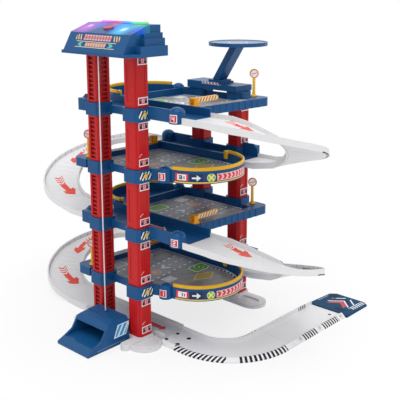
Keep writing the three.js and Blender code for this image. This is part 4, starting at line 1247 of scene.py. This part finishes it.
class GARAGE_OT_tracks(bpy.types.Operator):
    """Pale grey hairpin tracks with red arrows"""

    bl_idname = "garage.tracks"
    bl_label = "Hairpin tracks"

    # The side of the garage on which each track turns
    SIDES = {"track_4_to_3": -1, "track_3_to_2": 1, "track_2_to_1": -1, "track_1_to_ground": 1}
    # Where each arrow starts along the turn, how far off its middle, and how it leans
    ARROWS = {
        1: ((84.0, 9.0, -22.0), (164.0, 4.0, -23.0)),
        -1: ((2.0, -18.0, 14.0),),
    }
    # How much of the storey's height the track has fallen, at even steps round its turn
    DROPS = (0.0, 0.025, 0.06, 0.125, 0.195, 0.275, 0.36, 0.45, 0.56, 0.66, 0.76, 0.85, 0.92)
    CHEVRONS_MM = (0.0, 5.0, 10.0)
    WALL_MM = 2.1
    WALL_FOOT_SHADE_MM = (3.2, 2.2)
    DULLER = 0.04

    def execute(self, context):
        for node, side in self.SIDES.items():
            dress(node, self.track(node, side))
        return {"FINISHED"}

    def track(self, node, side):
        look = moulded(f"{node}_plastic", times(chosen("grey"), 1.03), GREY_ROUGHNESS)
        x, y, z = look.moved()
        out = y * side - TURN_CENTRE_MM
        across = x * side
        along = look.math("ARCTAN2", out, across) * TRACK_RADIUS_MM
        off = length_of(across, out) - TRACK_RADIUS_MM
        inside = abs(off) < TRACK_HALF_MM - self.WALL_MM
        for start, shift, lean in self.ARROWS[side]:
            mark = self.arrow(along - start, off - shift, math.radians(lean))
            look.paint(mark * inside, (0.8, 0.09, 0.06), self.DULLER)
        # Painted shade: a darker line along the foot of the walls, round the turn
        wall_foot_shade = abs(off).within(*(TRACK_HALF_MM - depth for depth in self.WALL_FOOT_SHADE_MM))
        look.paint(wall_foot_shade * (out > 0.0) * 0.45, (0.3, 0.3, 0.33))
        # Painted shadow lines along the rims of the tracks that turn towards -y
        if side < 0:
            self.seam(look, off, along, z, int(node[6]))
        return look.close(MOULDED_COAT)

    def arrow(self, along, off, lean):
        """Three thin chevrons and a broad arrow after them, with its barbs swept back."""
        ahead = along * math.cos(lean) + off * math.sin(lean)
        aside = abs(off * math.cos(lean) - along * math.sin(lean))
        back = ahead + aside * 0.8
        marks = back.within(15.0, 40.0) * (aside < 4.6)
        for start in self.CHEVRONS_MM:
            marks = marks | back.within(start, start + 2.4) * (aside < 6.2)
        barbs = (ahead + aside * 0.55).within(34.0, 42.0) * (aside < 9.5)
        point = (ahead + aside * 1.15).within(30.0, 47.5) * (ahead > 33.0) * (aside < 9.5)
        return marks | barbs | point

    def seam(self, look, off, along, z, level):
        """Painted shadow: dark lines on the inner rim and under the outer one, in the second half of the
        turn.
        """
        last = len(self.DROPS) - 1
        stops = [(i / last, (share,) * 3) for i, share in enumerate(self.DROPS)]
        fallen = look.split(look.ramp(along / (math.pi * TRACK_RADIUS_MM), stops))[0]
        rise = z - (PITCH / MM * level + FLOOR_MM) + fallen * (PITCH / MM)
        half = TRACK_HALF_MM
        inner = off.within(-half - 0.5, 2.3 - half) * (rise > 4.6) * along.within(116.0, 154.0)
        foot = off.within(half - 3.5, half - 1.9) * along.within(136.0, 205.0) * (rise < 1.2)
        outer = (off > half - 0.8) * (rise < -1.2) * along.within(120.0, 150.0)
        # Painted shadow
        look.paint(inner | foot | outer, (0.02, 0.02, 0.022))


class GARAGE_OT_ground(bpy.types.Operator):
    """The ground curve and exit track with their dark rim marks, the feet and the ramp"""

    bl_idname = "garage.ground"
    bl_label = "Ground track"

    # The radius that marks are counted on, and the share of its full width that the road starts with
    ARC_MM = 96.0
    NARROW = 0.82
    RIM_MM = (-2.2, 5.6)
    MARK_SHARE = 0.54
    HOLES_MM = (-74.0, -80.0)
    HOLE_STEP_MM = 11.0
    HOLE_RADIUS_MM = 3.3
    SOCKET_MM = (132.0, -189.0)
    SOCKET_RADIUS_MM = 2.6
    # On the ramp: the reach along it of the red line, the two white ones and the dark one between them
    RED_MM = (177.5, 186.5)
    FIRST_WHITE_MM = (187.5, 190.8)
    LAST_WHITE_MM = (202.5, 205.8)
    DARK_MM = (192.5, 196.5)
    DARK_FIELDS_MM = (((186.0, 204.0), (12.0, 26.0)), ((150.0, 160.0), (-24.0, -8.0)))
    BARS_MM = ((168.0, 206.0), (-31.0, -22.0))
    EDGE_MM = ((164.0, 190.0), (26.0, 28.2))
    RAMP_TOP_MM = 0.6

    def execute(self, context):
        dress("ground_curve", self.curve())
        dress("exit_track", self.exit_road())
        dress("exit_ramp", self.ramp())
        feet = plain_plastic("grey_foot_plastic", chosen("grey"), GREY_ROUGHNESS)
        for node in ("foot_lift_right", "foot_lift_left", "foot_back_right", "foot_back_left"):
            dress(node, feet)
        return {"FINISHED"}

    def curve(self):
        """Dark marks on the outer rim, slanted and then upright, and short dashes on the inner one."""
        # Painted light: this grey is lighter than the tracks' to make up for the shade that the decks
        # cast on it
        look = moulded("ground_curve_plastic", times(chosen("grey"), 1.14), GREY_ROUGHNESS)
        x, y, _ = look.moved()
        du = CURVE_CENTRE_MM[0] - x
        dv = CURVE_CENTRE_MM[1] - y
        turn = look.math("ARCTAN2", dv, du)
        straight = x > CURVE_CENTRE_MM[0]
        bent = 1.0 - straight
        bend = self.ARC_MM * math.pi / 2 - CURVE_CENTRE_MM[0]
        along = turn * self.ARC_MM * bent + straight * (x + bend)
        reach = length_of(du, dv) * bent + straight * dv
        share = self.NARROW + turn * ((1.0 - self.NARROW) / (math.pi / 2))
        half = (share * bent + straight) * TRACK_HALF_MM
        rim = reach - CURVE_RADIUS_MM - half
        slanted = stripes(along + rim, 6.5, self.MARK_SHARE) * along.within(-13.0, 67.0)
        upright = stripes(along, 6.5, self.MARK_SHARE) * along.within(82.0, 158.0)
        look.paint((slanted | upright) * rim.within(*self.RIM_MM), chosen("ink"))
        inner = CURVE_RADIUS_MM - half
        dashes = stripes(along, 6.4, 0.45) * along.within(112.0, 165.0)
        look.paint(dashes * (reach - inner).within(0.2, 1.6), (0.05, 0.05, 0.06))
        self.holes(look, x, y)
        return look.close(MOULDED_COAT)

    def holes(self, look, x, y):
        """Painted shade: the four small holes are painted dark inside."""
        for x_side in (-1, 1):
            for y_side in (-1, 1):
                centre_x = self.HOLES_MM[0] + x_side * self.HOLE_STEP_MM
                centre_y = self.HOLES_MM[1] + y_side * self.HOLE_STEP_MM
                look.paint(disc(x, y, (centre_x, centre_y), self.HOLE_RADIUS_MM), (0.03, 0.03, 0.03))

    def exit_road(self):
        """Dark marks on both rims and a dark socket at the end."""
        look = moulded("exit_plastic", times(chosen("grey"), 1.12), GREY_ROUGHNESS)
        x, y, _ = look.moved()
        rim = EXIT_Y_MM - TRACK_HALF_MM - y
        groups = x.within(43.0, 75.0) | x.within(90.0, 129.0)
        marks = stripes(x + 2.0, 5.2, self.MARK_SHARE) * groups
        look.paint(marks * rim.within(*self.RIM_MM), chosen("ink"))
        far = (y - EXIT_Y_MM - TRACK_HALF_MM).within(-2.4, 3.0)
        look.paint(stripes(x, 5.2, 0.5) * far * x.within(110.0, 127.0), chosen("ink"))
        look.paint(disc(x, y, self.SOCKET_MM, self.SOCKET_RADIUS_MM), (0.1, 0.1, 0.11))
        return look.close(MOULDED_COAT)

    def ramp(self):
        """Blue ramp with a red and white chevron outline and pale bars in one corner."""
        look = moulded("ramp_plastic", chosen("blue"), 0.44)
        look.set("Specular IOR Level", RAMP_SPECULAR)
        x, y, z = look.moved()
        top = z > self.RAMP_TOP_MM
        off = y - EXIT_Y_MM
        aside = abs(off + 2.6)
        lean = x + aside * 0.97
        look.paint(top, (0.006, 0.06, 0.14))
        pale = (0.84, 0.86, 0.9)
        look.paint(lean.within(*self.RED_MM) * (aside < 14.0) * top, (0.6, 0.1, 0.09))
        inner = lean.within(*self.FIRST_WHITE_MM) * (aside < 18.0)
        outer = lean.within(*self.LAST_WHITE_MM) * aside.within(4.0, 19.0)
        look.paint((inner | outer) * top, pale)
        look.paint(lean.within(*self.DARK_MM) * (aside < 15.0) * top, (0.01, 0.02, 0.07))
        first, second = (patch(x, off, *field) for field in self.DARK_FIELDS_MM)
        look.paint((first | second) * top * 0.75, (0.012, 0.02, 0.05))
        bars = stripes(x - off * 0.3, 5.6, 0.5) * patch(x, off, *self.BARS_MM)
        edge = patch(x, off, *self.EDGE_MM) * 0.35
        look.paint((bars | edge) * top, pale)
        return look.close()


class GARAGE_OT_studs(bpy.types.Operator):
    """Round studs on the outer rim of the ground track"""

    bl_idname = "garage.studs"
    bl_label = "Rim studs"

    PLACES_MM = ((37.0, -204.4), (83.0, -204.4), (136.5, -204.4))
    PROFILE_MM = ((0.0, 3.2), (2.7, 3.2), (2.7, 5.0), (2.2, 5.5), (1.2, 5.5), (1.0, 5.1), (0.0, 5.1))

    def execute(self, context):
        grey = plain_plastic("grey_stud_plastic", times(chosen("grey"), 0.86), GREY_ROUGHNESS)
        studs = joined(turned(self.PROFILE_MM, place, 20) for place in self.PLACES_MM)
        smooth(solid_piece("rim_studs", studs, grey, GARAGE_MATRIX))
        return {"FINISHED"}


class GARAGE_OT_cab(bpy.types.Operator):
    """The lift cab with the printed windows on its sides"""

    bl_idname = "garage.cab"
    bl_label = "Lift cab"

    SIDE_MM = 31.6
    WINDOW_LEAN = 0.42

    def execute(self, context):
        look = moulded("cab_plastic", chosen("blue"), BLUE_ROUGHNESS)
        x, y, z = look.moved()
        side = abs(y) > self.SIDE_MM
        slant = x - (z - 21.0) * self.WINDOW_LEAN
        look.paint(slant.within(-142.0, -120.5) * z.within(12.5, 30.0) * side, (0.75, 0.86, 0.92))
        pane = slant.within(-140.2, -122.0) * z.within(13.8, 28.8) * side
        look.paint(pane, (0.03, 0.32, 0.62))
        look.paint(pane * stripes(slant - z * 0.2 + 2.0, 8.6, 0.42), (0.6, 0.82, 0.92))
        line = patch(x, z - x * 0.02, (-174.0, -126.0), (7.6, 8.4)) * side
        look.paint(line * 0.6, (0.3, 0.4, 0.62))
        dress("lift_cab", look.close(0.12))
        return {"FINISHED"}


class GARAGE_OT_head(bpy.types.Operator):
    """The stepped head of the tower with its front panel and glowing crest, and the works inside it"""

    bl_idname = "garage.head"
    bl_label = "Tower head"

    COAT = 0.12
    LENS_COAT = 0.6
    SHELL_GLOW = 1.0
    LENS_GLOW = 0.5
    FRONT_MM = -127.0
    UPPER_ROW_MM = (404.0, 410.5)
    LOWER_ROW_MM = (396.5, 401.0)
    LINES_MM = ((401.8, 402.5), (395.0, 395.7))
    SLOPE_MM = (-96.0, 412.6)
    # Place along y and x, reach and colour of each glow
    GLOWS = (
        (44.0, -112.0, 26.0, (0.65, 0.06, 0.6)),
        (24.0, -100.0, 18.0, (0.16, 0.06, 0.6)),
        (2.0, -97.0, 12.0, (0.7, 0.02, 0.1)),
        (-18.0, -104.0, 22.0, (0.02, 0.3, 0.95)),
        (-30.0, -118.0, 20.0, (0.02, 0.55, 0.85)),
        (-44.0, -100.0, 18.0, (0.04, 0.55, 0.2)),
        (-52.0, -112.0, 14.0, (0.0, 0.05, 0.7)),
        (-30.0, -114.0, 7.0, (0.9, 0.97, 1.0)),
        (42.0, -108.0, 5.0, (0.95, 0.75, 0.95)),
    )
    LENS_HALF_MM = 42.0
    LENS_COLOURS = (
        (0.0, (0.05, 0.6, 0.15)),
        (0.2, (0.1, 0.7, 0.3)),
        (0.36, (0.02, 0.25, 0.9)),
        (0.5, (0.1, 0.2, 0.8)),
        (0.58, (0.85, 0.03, 0.12)),
        (0.7, (0.5, 0.05, 0.5)),
        (1.0, (0.8, 0.1, 0.75)),
    )

    def execute(self, context):
        dress("roof_shell", self.shell())
        dress("lamp_lens", self.lens())
        dress("call_button", plain_plastic("button_plastic", (0.45, 0.05, 0.12), 0.2))
        dress("winding_drum", plain_plastic("drum_plastic", chosen("grey"), GREY_ROUGHNESS))
        dress("gear_motor", self.motor())
        return {"FINISHED"}

    def shell(self):
        look = moulded("head_plastic", chosen("blue"), BLUE_ROUGHNESS)
        x, y, z = look.moved()
        self.panel(look, y, z, x < self.FRONT_MM)
        return look.close(self.COAT, self.glow(look, x, y, z), self.SHELL_GLOW)

    def panel(self, look, y, z, front):
        """Slanted bars at both ends of a banner of blocks, over a lined strip."""
        upper = z.within(*self.UPPER_ROW_MM) * front
        lower = z.within(*self.LOWER_ROW_MM) * front
        ends = y.within(30.0, 42.0) | y.within(-42.0, -30.0)
        look.paint(upper * stripes(y - z * 0.45, 4.6, 0.45) * ends, (0.85, 0.55, 0.2))
        banner = y.within(-26.0, 26.0)
        blocks = stripes(y - z * 0.2, 5.4, 0.8)
        look.paint(upper * banner * blocks, (0.85, 0.45, 0.4))
        look.paint(z.within(405.4, 409.0) * front * banner * blocks * 0.6, (0.5, 0.08, 0.1))
        first, second = (z.within(*line) for line in self.LINES_MM)
        look.paint((first | second) * front * abs(y).within(-1.0, 38.0), (0.75, 0.7, 0.3))
        look.paint(lower * y.within(-20.0, 20.0) * stripes(y, 5.0, 0.82), (0.8, 0.4, 0.28))
        arrows = (abs(y) + abs(z - 398.7) * 1.6).within(28.0, 34.0)
        look.paint(lower * arrows, (0.12, 0.5, 0.5))

    def glow(self, look, x, y, z):
        """Coloured light from the lamps behind the sloping top."""
        slope = (z > self.SLOPE_MM[1]) * (x < self.SLOPE_MM[0])
        total = (0.0, 0.0, 0.0)
        for at_y, at_x, reach, colour in self.GLOWS:
            near = 1.0 - distance(x, y, (at_x, at_y)) / reach
            total = look.mix((near | 0.0) * slope, total, colour)
        return total

    def lens(self):
        """A row of coloured lamps under one clear cover."""
        look = Look("lamp_row")
        _, y, _ = look.moved()
        look.colour = look.ramp((y + self.LENS_HALF_MM) / (2 * self.LENS_HALF_MM), self.LENS_COLOURS)
        look.roughness = 0.12 + look.noise(60.0) * 0.06
        look.normal = look.bump(0.3, 0.0005, look.math("SINE", y * 2.4))
        return look.close(self.LENS_COAT, look.colour, self.LENS_GLOW)

    def motor(self):
        """Brushed steel can of the gear motor."""
        look = Look("motor_steel")
        brushed = look.noise(300.0, 3.0, 0.6, (1.0, 0.05, 1.0))
        look.colour = look.mix(brushed, (0.42, 0.42, 0.44), (0.66, 0.66, 0.68))
        look.roughness = 0.25 + brushed * 0.2
        look.normal = look.bump(0.1, 0.0002, brushed)
        look.set("Metallic", 1.0)
        return look.close()


class GARAGE_OT_cord(bpy.types.Operator):
    """The hoist cord: three strands twisted together, from the drum to the cab"""

    bl_idname = "garage.cord"
    bl_label = "Hoist cord"

    STRANDS = 3
    STRAND_SHARE = 0.54
    LAY = 0.009
    STEPS_PER_LAY = 12
    LIFT = 0.308

    def execute(self, context):
        low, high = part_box("hoist_cord")
        centre = (low + high) / 2
        length = high.z - low.z
        foot = Vector((centre.x, centre.y, low.z))
        shape = joined(self.strand(foot, length, index) for index in range(self.STRANDS))
        piece = solid_piece("twisted_cord", shape, self.fibre())
        piece.data.shade_smooth()
        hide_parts("hoist_cord")
        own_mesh(piece)
        return {"FINISHED"}

    def strand(self, foot, length, index):
        """One strand, wound round the cord's axis."""
        radius = bpy.context.scene.garage_sizes.cord
        half = radius * self.STRAND_SHARE
        steps = int(length / self.LAY * self.STEPS_PER_LAY)
        start = 360.0 * index / self.STRANDS
        ways = arc((0.0, 0.0), 1.0, start, start + 360.0 * length / self.LAY, steps)
        stations = []
        for i, (x, y) in enumerate(ways):
            axis = Vector((foot.x, foot.y, foot.z + length * i / steps))
            side = Vector((x, y, 0))
            stations.append((axis + side * (radius - half), side, Vector((-y, x, 0))))
        return swept(stations, arc((0.0, 0.0), half, 0.0, 315.0, 7))

    def fibre(self):
        look = Look("cord_fibre")
        fuzz = look.noise(2600.0, 3.0, 0.7, (1.0, 1.0, 0.3))
        look.colour = look.mix(fuzz, times(chosen("cord"), 0.8), chosen("cord"))
        look.roughness = 0.75 + fuzz * 0.15
        look.normal = look.bump(0.4, 0.0002, fuzz)
        return look.close()


class GARAGE_OT_studio(bpy.types.Operator):
    """The pale floor, the lamps, the sky and the camera"""

    bl_idname = "garage.studio"
    bl_label = "Studio"

    CAMERA_PLACE = (-0.7610, -0.7463, 0.4733)
    YAW_DEG = 47.35
    PITCH_DEG = 12.49
    SENSOR_WIDTH_MM = 36.0
    CLIP = (0.01, 50.0)
    FLOOR_HALF = 6.0
    # The floor that is seen goes from this share of white, near the garage, to all white
    WHITER = 0.76
    NEAR_MM = 330.0
    FAR_MM = 1000.0
    WHITE = (1, 1, 1, 1)
    # Place and size of each lamp, and what both look at
    KEY_LAMP = ((-0.5, -0.55, 3.0), 2.4)
    FILL_LAMP = ((1.3, -2.3, 1.2), 2.0)
    LAMPS_AIM = Vector((0, 0, 0.2))
    # The sky's light grows with the height of its rays between these shares of its strength
    SKY_SHARES = (0.6, 1.2)

    def execute(self, context):
        studio = context.scene.garage_studio
        self.floor()
        self.lamp("key_lamp", *self.KEY_LAMP, studio.key)
        self.lamp("fill_lamp", *self.FILL_LAMP, studio.fill)
        self.sky(studio.ambient)
        self.camera(studio)
        context.scene.view_settings.view_transform = "Standard"
        return {"FINISHED"}

    def place(self, name, data):
        piece = bpy.data.objects.new(name, data)
        bpy.context.scene.collection.objects.link(piece)
        return piece

    def floor(self):
        mesh = bpy.data.meshes.new("studio_floor")
        reach = (-self.FLOOR_HALF, self.FLOOR_HALF)
        mesh.from_pydata([(x, y, 0) for x, y in rectangle(reach, reach)], [], [[0, 1, 2, 3]])
        mesh.materials.append(self.paper())
        self.place("studio_floor", mesh)

    def paper(self):
        """White paper: rays from the camera see it whiter, and fully white far from the garage."""
        look = Look("floor_paper")
        look.colour = look.mix(look.noise(30.0), (0.9, 0.9, 0.9), (0.92, 0.92, 0.92))
        look.roughness = 0.9 + look.noise(80.0) * 0.05
        look.normal = look.bump(0.02, 0.0005, look.noise(500.0))
        look.close()
        x, y, _ = look.moved((0.0, 0.0, 0.0))
        share = ((distance(x, y) - self.NEAR_MM) / (self.FAR_MM - self.NEAR_MM)).held(0.0, 1.0)
        white = look.wire("ShaderNodeEmission", values={"Color": self.WHITE, "Strength": 1.0})
        whiter = seen(look) * (self.WHITER + share * (1.0 - self.WHITER))
        lit = Wire(look, look.shader.outputs[0])
        mixed = look.wire("ShaderNodeMixShader", values={0: whiter, 1: lit, 2: white})
        look.join(mixed, look.tree.nodes["Material Output"].inputs["Surface"])
        return look.material

    def lamp(self, name, place, size, power):
        data = bpy.data.lights.new(name, "AREA")
        data.energy = power
        data.size = size
        stand = self.place(name, data)
        stand.location = place
        stand.rotation_euler = (self.LAMPS_AIM - Vector(place)).to_track_quat("-Z", "Y").to_euler()

    def sky(self, ambient):
        """White behind the garage, and a plain soft light on it."""
        world = bpy.data.worlds.new("studio_sky")
        bpy.context.scene.world = world
        world.use_nodes = True
        look = Nodes(world.node_tree)
        height = look.split(look.wire("ShaderNodeTexCoord", output="Generated"))[2]
        falloff = (height * 0.8 + 0.72).held(*self.SKY_SHARES)
        sockets = {"Color": self.WHITE, "Strength": falloff * ambient}
        light = look.wire("ShaderNodeBackground", values=sockets)
        white = look.wire("ShaderNodeBackground", values={"Color": self.WHITE, "Strength": 1.0})
        mixed = look.wire("ShaderNodeMixShader", values={0: seen(look), 1: light, 2: white})
        look.join(mixed, look.tree.nodes["World Output"].inputs["Surface"])

    def camera(self, studio):
        data = bpy.data.cameras.new("studio_camera")
        data.lens = studio.lens
        data.sensor_width = self.SENSOR_WIDTH_MM
        data.shift_y = studio.shift
        data.clip_start, data.clip_end = self.CLIP
        camera = self.place("studio_camera", data)
        camera.location = self.CAMERA_PLACE
        yaw = math.radians(self.YAW_DEG)
        pitch = math.radians(self.PITCH_DEG)
        level = math.cos(pitch)
        aim = Vector((math.sin(yaw) * level, math.cos(yaw) * level, -math.sin(pitch)))
        camera.rotation_euler = aim.to_track_quat("-Z", "Y").to_euler()
        bpy.context.scene.camera = camera


# Panel and registration


class GARAGE_PT_panel(bpy.types.Panel):
    """The steps that dress the garage"""

    bl_label = "Toy parking garage"
    bl_idname = "GARAGE_PT_panel"
    bl_space_type = "VIEW_3D"
    bl_region_type = "UI"
    bl_category = "Garage"

    def draw(self, context):
        for group in GROUPS:
            values = getattr(context.scene, group)
            for name in values.bl_rna.properties.keys():
                if name not in ("rna_type", "name"):
                    self.layout.prop(values, name)
        for step in STEPS:
            self.layout.operator(step.bl_idname)


STEPS = (
    GARAGE_OT_studio,
    GARAGE_OT_cord,
    GARAGE_OT_columns,
    GARAGE_OT_column_stickers,
    GARAGE_OT_decks,
    GARAGE_OT_deck_prints,
    GARAGE_OT_balcony_bands,
    GARAGE_OT_posts,
    GARAGE_OT_rails,
    GARAGE_OT_gates,
    GARAGE_OT_signs,
    GARAGE_OT_tracks,
    GARAGE_OT_ground,
    GARAGE_OT_studs,
    GARAGE_OT_cab,
    GARAGE_OT_head,
)
GROUPS = {"garage_colours": GarageColours, "garage_sizes": GarageSizes, "garage_studio": GarageStudio}


def register():
    for group in (*GROUPS.values(), *STEPS, GARAGE_PT_panel):
        bpy.utils.register_class(group)
    for name, group in GROUPS.items():
        setattr(bpy.types.Scene, name, PointerProperty(type=group))


def unregister():
    for name in GROUPS:
        delattr(bpy.types.Scene, name)
    for group in reversed((*GROUPS.values(), *STEPS, GARAGE_PT_panel)):
        bpy.utils.unregister_class(group)


def main():
    register()
    for step in STEPS:
        area, name = step.bl_idname.split(".")
        getattr(getattr(bpy.ops, area), name)()


if __name__ == "__main__":
    main()
